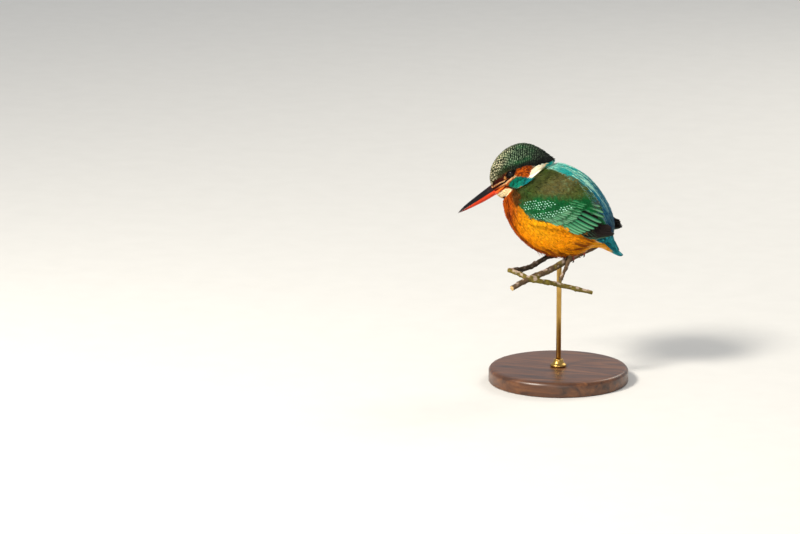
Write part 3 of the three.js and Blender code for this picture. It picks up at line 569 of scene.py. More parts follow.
def body_colours(t, a, points):
    """Torso colours by share of length and angle: orange below, the stripe down the back, olive between, and
    the tail's teal above the undertail's orange."""
    height = height_of(a) + 4.0 * streaks(t, a, 8, 1.6, 11)
    flank = ramp(0.22, 0.4, t + 0.0012 * (height + 40)) * ramp(-66, -42, height)
    made = blend(paint("rust"), paint("amber"), flank)
    # painted highlight: a brighter, yellower patch where the light falls full on the flank below the wing
    bright = hump(t, 0.37, 0.17) * hump(height, -18, 16)
    made = blend(made, paint("saffron_and_highlight"), bright)
    fine, broad = streaks(t, a, 6, 0.7, 12), streaks(t, a, 11, 2.2, 13)
    dark = ramp(-0.1, 0.6, 0.6 * fine + 0.8 * broad)
    made = blend(made, paint("russet"), dark * (0.9 - 0.62 * flank - 0.2 * bright))
    # painted shade: darker brown feathers under the belly by the branch and round the vent
    low = ramp(0.5, 0.64, t + 0.002 * (-40 - height)) * ramp(-20, -38, height)
    low = np.maximum(low, ramp(0.62, 0.71, t) * ramp(0.82, 0.77, t) * ramp(30, 16, height))
    made = blend(made, paint("umber_shade"), 0.85 * low * ramp(-0.6, 0.4, broad + 0.5 * fine + 0.1))
    vent = blend(paint("vent"), paint("vent_tip"), ramp(0, 0.6, fine))
    made = blend(made, vent, ramp(0.78, 0.84, t))
    above_tail = ramp(-1.8, -1.0, over_tail(points)[1])
    made = blend(made, tail_covert_colours(points), ramp(0.74, 0.78, t) * above_tail)
    brown = blend(paint("neck_brown"), paint("olive") * 0.6, ramp(-24, -14, height + 6 * broad))
    made = blend(made, brown, ramp(-33, -24, height) * ramp(0.27, 0.2, t))
    made = blend(made, paint("olive"), ramp(-12, -4, height) * ramp(0.3, 0.2, t))
    shoulder = blend(paint("olive_brown"), paint("olive"), ramp(20, 45, height))
    made = blend(made, shoulder, ramp(20, 30, height) * ramp(0.72, 0.66, t))
    return blend(made, stripe_colours(t, a), ramp(61, 65, height))


# ---------- closed leaves: barb clumps and vanes ----------

# Profiles across a leaf, as shares of its half width and of its thickness.
BLADE = np.array([(-1, 0), (0, 1), (1, 0)])
LEAF = np.array([(-1, 0), (-0.4, 0.9), (0.4, 0.9), (1, 0), (0, -0.6)])
VANE = np.array([(-1, 0), (-0.72, 0.7), (-0.4, 0.9), (0, 1), (0.4, 0.9), (0.72, 0.7), (1, 0), (0, -0.6)])
PATCH = 0.003  # side of a leaf's patch on the bake map
LEAF_MAP = 50.0  # millimetres to one unit of the leaf map, across and along each leaf


def capped(rings, sides):
    """Faces of some rings of points between a first and a last point: quads from ring to ring and a fan at
    each end. They face outwards when the rings turn with the left hand's fingers as its thumb points along
    them."""
    i, j = np.meshgrid(np.arange(rings - 1), np.arange(sides), indexing="ij")
    after = (j + 1) % sides
    quads = 1 + np.stack([i * sides + j, (i + 1) * sides + j, (i + 1) * sides + after, i * sides + after], -1)
    j = np.arange(sides)
    after = (j + 1) % sides
    last = 1 + (rings - 1) * sides
    first_fan = np.stack([0 * j, 1 + j, 1 + after], -1)
    last_fan = np.stack([0 * j + last + sides, last + after, last + j], -1)
    return quads.reshape(-1, 4), np.concatenate([first_fan, last_fan])


class Pile:
    """Leaves gathered for one mesh: points, faces, colours, places on the leaf and on the bake map."""

    def __init__(self):
        self.points, self.quads, self.triangles = [], [], []
        self.colours, self.leaf, self.bake = [], [], []
        self.count = 0

    def add(self, lines, half_width, thickness, profile, colours, bake, camber=0.0):
        """Closed leaves along lines of stations. Each ring carries the profile at its station's half width
        and thickness, bowed by camber of the half width, and each end closes on a point. Colours are given
        for each leaf and station, or for each leaf, station and profile point."""
        centre, across, normal, shares = lines
        count, stations = centre.shape[:2]
        rings, sides = stations - 2, len(profile)
        width = np.broadcast_to(half_width, (count, stations))[:, 1:-1, None, None]
        deep = np.broadcast_to(thickness, (count, stations))[:, 1:-1, None, None]
        over = profile[:, 0, None]
        rise = profile[:, 1, None] * deep + camber * width * (1 - over**2)
        ring = centre[:, 1:-1, None] + across[:, 1:-1, None] * over * width + normal[:, 1:-1, None] * rise
        self.points.append(np.concatenate([centre[:, :1], ring.reshape(count, -1, 3), centre[:, -1:]], 1))

        each = rings * sides + 2
        start = self.count + each * np.arange(count)[:, None, None]
        quads, fans = capped(rings, sides)
        self.quads.append((quads + start).reshape(-1, 4))
        self.triangles.append((fans + start).reshape(-1, 3))
        self.count += each * count

        if colours.ndim == 3:
            colours = np.broadcast_to(colours[:, :, None], (count, stations, sides, 3))
        ends = colours.mean(2)
        self.colours.append(
            np.concatenate([ends[:, :1], colours[:, 1:-1].reshape(count, -1, 3), ends[:, -1:]], 1)
        )
        u = np.broadcast_to((profile[:, 0] + 1) / 2, (rings, sides)).ravel()
        v = np.repeat(shares[1:-1], sides)
        place = np.stack([np.r_[0.5, u, 0.5], np.r_[0.0, v, 1.0]], -1)
        self.bake.append(bake[:, None] + (place - 0.5) * PATCH)
        long = size_of(np.diff(centre, axis=1)).sum(1)[:, None]
        out = (width[..., 0] * profile[:, 0]).reshape(count, -1)
        sized = np.stack([np.pad(out, ((0, 0), (1, 1))), place[:, 1] * long], -1)
        self.leaf.append(0.5 + sized / LEAF_MAP)

    def piece(self, name, finish_name, slot, *replaced):
        """One piece of all the leaves."""
        points, colours, leaf, bake = [
            np.concatenate([p.reshape(-1, p.shape[-1]) for p in part])
            for part in (self.points, self.colours, self.leaf, self.bake)
        ]
        shape = points, [np.concatenate(self.quads), np.concatenate(self.triangles)]
        new_piece(name, shape, finish_name, replaced, colours, {"leaf": leaf, "OFBake": bake})


def linked(name, data):
    """A new object of this data in the scene."""
    made = bpy.data.objects.new(name, data)
    bpy.context.scene.collection.objects.link(made)
    return made


def new_piece(name, shape, finish_name, replaced=(), colours=None, maps=()):
    """Puts a shape, points in millimetres round the grip and arrays of faces, into a mesh that rides on the
    body, with a colour for each point and maps by name."""
    points, faces = shape
    mesh = bpy.data.meshes.new(name)
    world = (points + GRIP) * MM
    mesh.vertices.add(len(world))
    mesh.vertices.foreach_set("co", world.astype(np.float32).ravel())
    corners = np.concatenate([f.ravel() for f in faces]).astype(np.int32)
    sizes = np.concatenate([np.full(len(f), f.shape[1]) for f in faces])
    mesh.loops.add(len(corners))
    mesh.loops.foreach_set("vertex_index", corners)
    mesh.polygons.add(len(sizes))
    mesh.polygons.foreach_set("loop_start", np.r_[0, np.cumsum(sizes)[:-1]].astype(np.int32))
    mesh.polygons.foreach_set("use_smooth", np.ones(len(sizes), bool))
    mesh.update(calc_edges=True)
    if colours is not None:
        layer = mesh.color_attributes.new("tint", "FLOAT_COLOR", "POINT")
        layer.data.foreach_set("color", np.c_[colours, np.ones(len(colours))].astype(np.float32).ravel())
    for label, places in dict(maps).items():
        layer = mesh.uv_layers.new(name=label)
        layer.data.foreach_set("uv", places[corners].astype(np.float32).ravel())
    mesh.materials.append(material_of(finish_name))
    made = linked(name, mesh)
    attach(made, BODY)
    if replaced:
        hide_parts(*replaced)


def lines_on(sections, t, a, yaw, reach, shares, lifts, others=(), rest=None):
    """Stations of leaves that start at t and a and run along the body, turned by yaw towards the back, and
    rise from the first lift to the second. Where they would sink into another body they rest on it."""
    per_t, per_a = spans(sections, t, a)
    far = reach[:, None] * shares
    out_t = t[:, None] + far * (np.cos(yaw) / per_t)[:, None]
    out_a = a[:, None] + far * (np.sin(yaw) / per_a)[:, None]
    place, _, _, normal = lie_of(sections, out_t, out_a)
    lift = lifts[0] + (lifts[1] - lifts[0]) * shares
    centre = place + normal * lift[:, None]
    rest = lifts[0] + 0.25 + 0.5 * (lifts[1] - lifts[0]) if rest is None else rest
    for other in others:
        centre, normal = settle(other, centre, normal, rest)
    return framed(centre, normal, shares)


def framed(centre, normal, shares, roll=0.0):
    """Stations with the direction across each leaf and its own normal, rolled about its line."""
    forward = unit(np.gradient(centre, axis=1))
    across = unit(np.cross(normal, forward))
    normal = unit(np.cross(forward, across))
    turned_across = across * np.cos(roll) - normal * np.sin(roll)
    return centre, turned_across, normal * np.cos(roll) + across * np.sin(roll), shares


STRAY = 0.4  # how far a root strays from its cell's middle, as a share of the cell
DITHER = (0.7548776662, 0.5698402910)  # steps of the plane's golden sequence, which fills it evenly


def scatter(sections, t_span, a_span, spacing, rng, keep=None):
    """Roots spread evenly over part of a body: a grid whose cells are nowhere larger than the spacing,
    thinned by a golden dither to one root for each square of spacing. keep(t, a) gives the share that grows
    there."""
    probe = np.meshgrid(np.linspace(*t_span, 24), np.linspace(*a_span, 24), indexing="ij")
    per_t, per_a = spans(sections, *probe)
    t_count = int(per_t.max() * (t_span[1] - t_span[0]) / spacing) + 1
    a_count = int(per_a.max() * (a_span[1] - a_span[0]) / spacing) + 1
    i, j = np.meshgrid(np.arange(t_count), np.arange(a_count), indexing="ij")
    i, j = i.ravel(), j.ravel()
    cell_t, cell_a = (t_span[1] - t_span[0]) / t_count, (a_span[1] - a_span[0]) / a_count
    t = t_span[0] + (i + 0.5 + rng.uniform(-STRAY, STRAY, len(i))) * cell_t
    a = a_span[0] + (j + 0.25 + 0.5 * (i % 2) + rng.uniform(-STRAY, STRAY, len(i))) * cell_a
    _, lengthwise, roundwise, _ = lie_of(sections, t, a)
    area = size_of(np.cross(lengthwise, roundwise)) * cell_t * cell_a / spacing**2
    dither = (DITHER[0] * i + DITHER[1] * j) % 1
    kept = dither < (area if keep is None else area * keep(t, a))
    return t[kept], a[kept]


def outside(t, a, sections, others, depth):
    """Which roots aren't buried more than depth below the surface of another body."""
    place = on_body(sections, t, a)
    kept = np.ones(len(t), bool)
    for other in others:
        _, reach, _, _, height = over_body(other, place)
        kept &= ~((reach < 1) & (height < -depth))
    return kept


SHOWN = 0.68  # the share of a feather's length where its visible part has its middle


def shaded(base, rng, amount, shares, root_shade=0.4, tip_light=1.0):
    """Colours for each leaf and station: the leaf's own, a little lighter or darker leaf by leaf, darker
    with painted shade towards the root, where a leaf lies under others, and lighter or darker at its tip."""
    bright = 1 + amount * rng.uniform(-1, 1, len(base))
    depth = root_shade + (1 - root_shade) * ramp(0.0, 0.6, shares) + (tip_light - 1) * ramp(0.6, 1, shares)
    return base[:, None] * bright[:, None, None] * depth[:, None]


# The bake map's strips, one above the other, for what grows on each body: lower and upper edge.
BAKE_STRIPS = {
    "torso": (0.01, 0.5),
    "head": (0.52, 0.82),
    "undertail": (0.84, 0.91),
    "uppertail": (0.92, 0.99),
}


def bake_place(t, a, strip):
    """A root's place on the bake map: angle round the body across, share of its length up its strip."""
    low, high = BAKE_STRIPS[strip]
    return np.stack([0.01 + 0.98 * ((a / (2 * np.pi) + 0.25) % 1), low + (high - low) * np.clip(t, 0, 1)], -1)


# Stations of a clump of barbs and the half width at each, plain or with a bar short of the tip.
BLADE_SHARES = np.array([0, 0.12, 0.5, 0.82, 1])
BLADE_WIDTHS = np.array([0, 0.6, 1, 0.62, 0])
BARRED_SHARES = np.array([0, 0.15, 0.45, 0.67, 0.71, 0.85, 0.88, 1])
BARRED_WIDTHS = np.array([0, 0.6, 1, 1, 1, 0.9, 0.82, 0])
BARRED_SHOWS = np.array([0, 0, 0, 0, 1, 1, 0, 0])  # how strongly the bar shows there
CLUMP_THICKNESS = 0.07


def tufts(pile, body, t, a, yaw, reach, colour_at, rng, blades=5, spread=0.25, half_width=0.2,
          lifts=(-1.0, 0.2), others=(), rest=None, shade=0.2, clumping=0.0, depth=0.4, tip_light=1.0,
          bars=None, uneven=0.15):
    """Tufts of narrow barb clumps that fan out from each root by spread either way. body is the sections
    and the name of their bake strip, colour_at gives colours from share of length, angle and place,
    clumping is how much some tufts stand out at their tips, and uneven how much the clumps' lengths differ.
    bars puts a bar on each tuft, short of its tip: its colour and how strongly it shows."""
    sections, strip = body
    shares, widths = (BLADE_SHARES, BLADE_WIDTHS) if bars is None else (BARRED_SHARES, BARRED_WIDTHS)
    fan = np.tile(np.linspace(-1, 1, blades), len(t))
    order = np.repeat(np.arange(len(t)), blades)
    count = len(order)
    turned = yaw[order] + spread * fan + 0.05 * rng.normal(size=count)
    long = reach[order] * (1 - 1.3 * uneven * fan**2) * (1 + uneven * rng.uniform(-1.2, 0.8, count))
    lines = lines_on(sections, t[order], a[order], turned, long, shares, lifts, others, rest)
    stand = (clumping * rng.uniform(0, 1, len(t)) ** 2)[order] * rng.uniform(0.7, 1.1, count)
    rise = stand[:, None] * shares**2
    lines = (lines[0] + lines[2] * rise[..., None], *lines[1:])
    per_t, per_a = spans(sections, t[order], a[order])
    far = long * SHOWN
    shown_t = t[order] + far * np.cos(turned) / per_t
    shown_a = a[order] + far * np.sin(turned) / per_a
    base = colour_at(shown_t, shown_a, lines[0][:, 3])
    # depth is how dark the roots are painted: painted shade where the clumps lie under others
    colours = shaded(base, rng, shade, shares, depth, tip_light)
    if bars is not None:
        bar, strength = bars
        # it fades towards the fan's sides
        share = (strength[order] * ramp(1.2, 0.3, np.abs(fan)))[:, None] * BARRED_SHOWS
        colours = blend(colours, bar[order][:, None], np.clip(share, 0, 1))
    wide = half_width * rng.uniform(0.8, 1.25, count)[:, None] * widths
    pile.add(lines, wide, CLUMP_THICKNESS, BLADE, colours, bake_place(t, a, strip)[order])


# ---------- materials ----------

def put_in(tree, socket, value):
    """Links a node's first output, or any output, to a socket, or sets the socket to a plain value."""
    if isinstance(value, bpy.types.Node):
        value = value.outputs[0]
    if isinstance(value, bpy.types.NodeSocket):
        tree.links.new(value, socket)
    else:
        socket.default_value = value


def add(tree, kind, settings=(), **links):
    """Adds a node and sets its properties and sockets by name or number. Links name sockets with _ for a
    space. The stops of a colour ramp are positions with hex colours."""
    node = tree.nodes.new("ShaderNode" + kind)
    for key, value in dict(settings).items():
        if key == "stops":
            elements = node.color_ramp.elements
            if len(value) > len(elements):
                elements.new(0.5)
            for element, (position, shade) in zip(elements, value):
                element.position = position
                element.color = (*linear(shade), 1)
        elif isinstance(key, str) and hasattr(node, key):
            setattr(node, key, value)
        else:
            put_in(tree, node.inputs[key], value)
    for key, value in links.items():
        put_in(tree, node.inputs[key.replace("_", " ")], value)
    return node


def finish(tree, tint, bump=(), **sockets):
    """Gives the tree's shader its colour, a bump from a height and its settings, and its other sockets, named
    with _ for a space."""
    shader = tree.nodes["Principled BSDF"]
    put_in(tree, shader.inputs["Base Color"], tint)
    if bump:
        height, settings = bump
        put_in(tree, shader.inputs["Normal"], add(tree, "Bump", settings, Height=height))
    for key, value in sockets.items():
        put_in(tree, shader.inputs[key.replace("_", " ")], value)


def tinted(tree, pattern, low, high):
    """The mesh's own tint, from low to high times as light by a pattern's value from 0 to 1."""
    tint = add(tree, "Attribute", {"attribute_name": "tint"})
    light = add(tree, "MapRange", {"To Min": low, "To Max": high}, Value=pattern)
    return add(tree, "VectorMath", {"operation": "SCALE"}, Vector=tint, Scale=light)


def on_leaf(tree):
    """Millimetres across and along the leaf, from its map."""
    place = add(tree, "UVMap", {"uv_map": "leaf"})
    moved = add(tree, "VectorMath", {"operation": "SUBTRACT", 1: (0.5, 0.5, 0)}, Vector=place)
    return add(tree, "VectorMath", {"operation": "SCALE", "Scale": LEAF_MAP}, Vector=moved)


def downy_barbs(tree, roughness, gloss):
    """Loose body feathers: keratin barbs that part into hairs, so the light sinks in between them."""
    # hairs run along the clump, about 0.1 mm apart
    fine = add(tree, "Mapping", {"Scale": (10, 0.6, 1)}, Vector=on_leaf(tree))
    hairs = add(tree, "TexNoise", {"Scale": 1.0, "Detail": 2.0}, Vector=fine)
    finish(tree, tinted(tree, hairs, 0.65, 1.35), (hairs, {"Strength": 0.5, "Distance": 0.0001}),
           Roughness=roughness, Sheen_Weight=0.03, Sheen_Roughness=0.4, Specular_IOR_Level=gloss)


def zipped_vane(tree):
    """Contour and flight feathers: barbs zipped into a vane, sloping from a shaft, with a silky gloss."""
    place = on_leaf(tree)
    parts = add(tree, "SeparateXYZ", Vector=place)
    off_shaft = add(tree, "Math", {"operation": "ABSOLUTE"}, Value=parts)
    slope = add(tree, "Math", {"operation": "SUBTRACT", 1: off_shaft}, Value=parts.outputs[1])
    # barbs drawn 0.4 mm apart, so that they show
    waves = add(tree, "Math", {"operation": "MULTIPLY", 1: 2 * np.pi / 0.4}, Value=slope)
    barbs = add(tree, "Math", {"operation": "SINE"}, Value=waves)
    soft = add(tree, "TexNoise", {"Scale": 1.6, "Detail": 3.0}, Vector=place)
    mixed = add(tree, "Math", {"operation": "MULTIPLY_ADD", 1: 0.35, 2: soft}, Value=barbs)
    dark_shaft = {"From Min": 0.04, "From Max": 0.14, "To Min": 0.45, "To Max": 1.0}
    shaft = add(tree, "MapRange", dark_shaft, Value=off_shaft)
    tint = tinted(tree, mixed, 0.6, 1.35)
    lined = add(tree, "VectorMath", {"operation": "SCALE"}, Vector=tint, Scale=shaft)
    finish(tree, lined, (barbs, {"Strength": 0.4, "Distance": 0.0001}),
           Roughness=0.6, Sheen_Weight=0.02, Specular_IOR_Level=0.13)


def bare_skin(tree):
    """Skin and down under the feathers: dull, in the colours of what grows on it."""
    place = add(tree, "TexCoord").outputs["Object"]
    down = add(tree, "TexNoise", {"Scale": 900.0, "Detail": 4.0}, Vector=place)
    finish(tree, tinted(tree, down, 0.25, 0.75), (down, {"Strength": 0.6, "Distance": 0.0004}),
           Roughness=0.9, Specular_IOR_Level=0.2)


def polished_horn(tree):
    """Polished keratin of bill and claws: smooth, with faint growth lines along it and a wet-looking coat."""
    place = add(tree, "TexCoord").outputs["Object"]
    along_bill = {"Rotation": (0, np.radians(-38), 0), "Scale": (60, 900, 900)}
    stretch = add(tree, "Mapping", along_bill, Vector=place)
    growth = add(tree, "TexNoise", {"Scale": 1.0, "Detail": 3.0}, Vector=stretch)
    finish(tree, tinted(tree, growth, 0.72, 1.25), (growth, {"Strength": 0.25, "Distance": 0.0001}),
           Roughness=0.3, Coat_Weight=0.05, Coat_Roughness=0.3, Specular_IOR_Level=0.25)


def wet_cornea(tree):
    """Eyeball under its cornea: near black, very smooth, so that it holds sharp lights."""
    place = add(tree, "TexCoord").outputs["Object"]
    flecks = add(tree, "TexNoise", {"Scale": 2500.0, "Detail": 2.0}, Vector=place)
    finish(tree, tinted(tree, flecks, 0.7, 1.3), Roughness=0.03, IOR=1.4, Specular_IOR_Level=0.35)


def waxy_scutes(tree):
    """Scutes of the toes: hard waxy skin, glossy on each plate."""
    place = add(tree, "TexCoord").outputs["Object"]
    cells = add(tree, "TexVoronoi", {"Scale": 1800.0}, Vector=place)
    sunk = {"Strength": 0.4, "Distance": 0.0001, "invert": True}
    finish(tree, tinted(tree, cells, 1.1, 0.75), (cells, sunk),
           Roughness=0.42, Coat_Weight=0.15, Coat_Roughness=0.3)


def thin_bark(tree):
    """Bark of a thin living branch: greenish brown, finely cracked along, with grey lichens and painted
    highlight on the branch's top.
    """
    place = add(tree, "TexCoord").outputs["Object"]
    grain = add(tree, "TexNoise", {"Scale": 700.0, "Detail": 6.0, "Roughness": 0.65}, Vector=place)
    cracks = add(tree, "TexVoronoi", {"Scale": 520.0, "feature": "DISTANCE_TO_EDGE"}, Vector=place)
    height = add(tree, "Math", {"operation": "MULTIPLY", 1: grain}, Value=cracks)
    finish(tree, tinted(tree, grain, 0.55, 1.45), (height, {"Strength": 0.8, "Distance": 0.0006}),
           Roughness=0.85, Specular_IOR_Level=0.3)


def waxed_walnut(tree):
    """Waxed walnut, turned: long grain across the disc with dark pores, satin."""
    place = add(tree, "TexCoord").outputs["Object"]
    plank = add(tree, "Mapping", {"Scale": (18, 140, 140)}, Vector=place)
    figure = add(tree, "TexNoise", {"Scale": 1.0, "Detail": 6.0, "Distortion": 1.2}, Vector=plank)
    browns = ((0.3, "#2C170B"), (0.52, "#5B3519"), (0.75, "#7C4E28"))
    wood = add(tree, "ValToRGB", {"stops": browns}, Fac=figure)
    pores = add(tree, "Mapping", {"Scale": (120, 2600, 2600)}, Vector=place)
    pore = add(tree, "TexNoise", {"Scale": 1.0, "Detail": 2.0}, Vector=pores)
    depth = {"From Min": 0.3, "From Max": 0.45, "To Min": 0.55, "To Max": 1.0}
    dark = add(tree, "MapRange", depth, Value=pore)
    shaded_wood = add(tree, "VectorMath", {"operation": "SCALE"}, Vector=wood, Scale=dark)
    finish(tree, shaded_wood, (dark, {"Strength": 0.15, "Distance": 0.0002}),
           Roughness=0.38, Coat_Weight=0.25, Coat_Roughness=0.3)


def drawn_brass(tree):
    """Lacquered brass rod: drawn lengthwise, with a warm soft highlight."""
    place = add(tree, "TexCoord").outputs["Object"]
    lines = add(tree, "Mapping", {"Scale": (4000, 4000, 90)}, Vector=place)
    drawn = add(tree, "TexNoise", {"Scale": 1.0, "Detail": 2.0}, Vector=lines)
    rough = add(tree, "MapRange", {"To Min": 0.22, "To Max": 0.38}, Value=drawn)
    tarnish = add(tree, "TexNoise", {"Scale": 160.0, "Detail": 3.0}, Vector=place)
    shades = add(tree, "ValToRGB", {"stops": ((0, "#8F6A2C"), (1, "#D8B268"))}, Fac=tarnish)
    finish(tree, shades, Metallic=1.0, Roughness=rough)


def studio_paper(tree):
    """Matt pale studio floor."""
    place = add(tree, "TexCoord").outputs["Object"]
    fibre = add(tree, "TexNoise", {"Scale": 40.0, "Detail": 3.0}, Vector=place)
    shades = add(tree, "ValToRGB", {"stops": ((0, "#D2D3D1"), (1, "#D8D9D7"))}, Fac=fibre)
    finish(tree, shades, Roughness=0.9, Specular_IOR_Level=0.1)


# Each finish: the material's name, what draws it, and the roughness and gloss of its barbs.
FINISHES = {
    "down": ("downy feather barbs", downy_barbs, 0.75, 0.1),
    "silk": ("silky back feathers", downy_barbs, 0.5, 0.2),
    "crown": ("crown feather barbs", downy_barbs, 0.6, 0.12),
    "vane": ("zipped vanes", zipped_vane),
    "skin": ("downy skin", bare_skin),
    "horn": ("polished horn", polished_horn),
    "eye": ("wet cornea", wet_cornea),
    "scutes": ("waxy scutes", waxy_scutes),
    "bark": ("thin bark", thin_bark),
    "walnut": ("waxed walnut", waxed_walnut),
    "brass": ("drawn brass", drawn_brass),
    "paper": ("studio paper", studio_paper),
}


def material_of(finish_name):
    """The material of a finish, made when it is first asked for."""
    name, draw, *values = FINISHES[finish_name]
    if name not in bpy.data.materials:
        material = bpy.data.materials.new(name)
        material.use_nodes = True
        draw(material.node_tree, *values)
    return bpy.data.materials[name]


# ---------- skin ----------

def domed(rings, middles, outwards, steps):
    """A closed shape of rings with a dome at each end: more rings that shrink as a quarter circle does to a
    point while they move by the end's outward vector."""
    turned = np.linspace(0, np.pi / 2, steps)[1:-1, None, None]
    caps = [
        middles[end] + (rings[end] - middles[end]) * np.cos(turned) + out * np.sin(turned)
        for end, out in zip((0, -1), outwards)
    ]
    return closed_rings(
        [*caps[0][::-1], *rings, *caps[1]], middles[0] + outwards[0], middles[-1] + outwards[1]
    )


def closed_loft(sections, steps, sides, rise, domes):
    """A lofted body with all its sections raised, from dome to dome, with rings at equal shares."""
    a = np.linspace(0, 2 * np.pi, sides, endpoint=False)
    rings = on_body(raise_all(sections, rise), np.linspace(0, 1, steps)[:, None], a[None])
    middles = rings.mean(1)
    outwards = unit(middles[[0, -1]] - middles[[1, -2]]) * np.array(domes)[:, None]
    return domed(rings, middles, outwards, 7)


def closed_rings(rings, first=None, final=None):
    """A closed shape of rings of equal length, closed on a point at each end, or on the middle of the end's
    ring where none is given."""
    first = rings[0].mean(0) if first is None else first
    final = rings[-1].mean(0) if final is None else final
    points = np.concatenate([first[None], *rings, final[None]])
    return points, turned_out(points, capped(len(rings), len(rings[0])))


def closed_loop(rings):
    """A closed shape of rings joined round, the last to the first."""
    count, sides = rings.shape[:2]
    i, j = np.meshgrid(np.arange(count), np.arange(sides), indexing="ij")
    next_i, next_j = (i + 1) % count, (j + 1) % sides
    quads = np.stack([i * sides + j, next_i * sides + j, next_i * sides + next_j, i * sides + next_j], -1)
    points = rings.reshape(-1, 3)
    return points, turned_out(points, [quads.reshape(-1, 4)])


def turned_out(points, faces):
    """Faces in the order that makes a closed mesh's signed volume positive."""
    total = 0.0
    for group in faces:
        for k in range(1, group.shape[1] - 1):
            a, b, c = points[group[:, 0]], points[group[:, k]], points[group[:, k + 1]]
            total += np.einsum("ij,ij->i", a, np.cross(b, c)).sum()
    return faces if total > 0 else [group[:, ::-1] for group in faces]


def joined(shapes):
    """Several closed shapes as one."""
    points, quads, triangles, start = [], [], [], 0
    for part_points, (part_quads, part_triangles) in shapes:
        points.append(part_points)
        quads.append(part_quads + start)
        triangles.append(part_triangles + start)
        start += len(part_points)
    return np.concatenate(points), [np.concatenate(quads), np.concatenate(triangles)]


def merged(shapes, voxel, smoothing):
    """One closed shape from overlapping ones, by a voxel remesh of the given size and some rounds of
    smoothing."""
    points, faces = joined(shapes)
    mesh = bpy.data.meshes.new("rough")
    mesh.from_pydata(points.tolist(), [], sum([group.tolist() for group in faces], []))
    rough = linked("rough", mesh)
    remesh = rough.modifiers.new("voxels", "REMESH")
    remesh.mode = "VOXEL"
    remesh.voxel_size = voxel
    smooth = rough.modifiers.new("smooth", "SMOOTH")
    smooth.factor = 0.5
    smooth.iterations = smoothing
    done = bpy.data.meshes.new_from_object(rough.evaluated_get(bpy.context.evaluated_depsgraph_get()))
    places = np.zeros(len(done.vertices) * 3)
    done.vertices.foreach_get("co", places)
    corners = np.zeros(len(done.loops), np.int32)
    done.loops.foreach_get("vertex_index", corners)
    sizes = np.zeros(len(done.polygons), np.int32)
    done.polygons.foreach_get("loop_total", sizes)
    starts = np.r_[0, np.cumsum(sizes)[:-1]]
    kept = [corners[starts[sizes == n][:, None] + np.arange(n)] for n in (3, 4) if (sizes == n).any()]
    bpy.data.objects.remove(rough)
    bpy.data.meshes.remove(mesh)
    bpy.data.meshes.remove(done)
    return places.reshape(-1, 3), kept


def plumage(points):
    """The markings at any point of the skin: those of the head or of the torso, whichever surface is
    nearer."""
    _, _, head_reach = locate(HEAD, points)
    body_t, body_a, body_reach = locate(TORSO, points)
    on_head = np.abs(head_reach - 1) < np.abs(body_reach - 1)
    return np.where(on_head[:, None], head_colours(points), body_colours(body_t, body_a, points))


def build_skin():
    """Head, torso and the flesh of the tail's root as one surface, inside the feathers by the coat's
    depth."""
    inwards = -chosen("coat_depth")
    shape = merged([
        closed_loft(TORSO, 70, 96, inwards, (6 + inwards, 3 + inwards)),
        closed_loft(HEAD, 60, 80, inwards, (0.4, 0.6)),
        closed_loft(UNDERTAIL, 30, 40, inwards, (1, 0.4)),
        closed_loft(UPPERTAIL, 30, 40, inwards, (1, 0.4)),
    ], chosen("skin_voxel"), 6)
    new_piece("skin", shape, "skin", ("head", "neck", "torso"), plumage(shape[0]))


# ---------- feathers of head and body ----------

ALL_ROUND = (-np.pi / 2, 1.5 * np.pi)


def crown_share(points):
    """How much of the crown's marking a point of the head has."""
    return within(CROWN_OUTLINE, points[:, ::2], 0.3)


CROWN_STEP = 2.3  # millimetres from one feather to the next along a row of the crown


def crown_roots(row_gap, spacing, rng):
    """Roots in rows across the crown, at equal steps along each row, every row half a step aside of the one
    before. Where the rows crowd together on the head's sides, every second one stops."""
    line = on_body(HEAD, np.linspace(0, 1, 200), np.full(200, np.pi / 2))
    run = np.r_[0, np.cumsum(size_of(np.diff(line, axis=0)))]
    rows = np.arange(-1.0, run[-1], row_gap)
    row_t = np.interp(rows, run, np.linspace(0, 1, 200)) + np.minimum(rows, 0) / run[-1]
    row_step = np.gradient(row_t)
    around = np.pi / 2 + np.radians(np.linspace(-105, 105, 421))
    found = []
    for i, t in enumerate(row_t):
        place = on_body(HEAD, np.full(len(around), t), around)
        arc = np.r_[0, np.cumsum(size_of(np.diff(place, axis=0)))]
        arc = (arc - arc[len(arc) // 2]) / spacing
        steps = np.arange(np.ceil(arc[0]), np.floor(arc[-1])) + (i % 2) / 2
        a = np.interp(steps, arc, around)
        per_t, _ = spans(HEAD, np.full(len(a), t), a)
        kept = (i % 2 == 0) | (per_t * row_step[i] > 0.62 * row_gap)
        found.append(np.stack([np.full(len(a), t), a])[:, kept])
    t, a = np.concatenate(found, axis=1)
    return t + rng.normal(0, 0.002, len(t)), a + rng.normal(0, 0.012, len(a))


def crown_colours(t, a, points):
    """Ground of the crown feathers: the head's own, with brighter emerald patches and an olive brow."""
    made = head_colours(points)
    bright = ramp(0.0, 0.6, noise(points, 5.0, 21)) * ramp(0.15, 0.35, t) * ramp(0.9, 0.65, t)
    bright = bright * ramp(0.7, 1.0, within(CROWN_OUTLINE, points[:, ::2], CROWN_MARGIN))
    made = blend(made, paint("emerald") * 0.8, 0.5 * bright)
    brow = ramp(73, 67, points[:, 2]) * ramp(-47, -52, points[:, 0])
    return blend(made, paint("olive") * 0.3, 0.7 * brow)


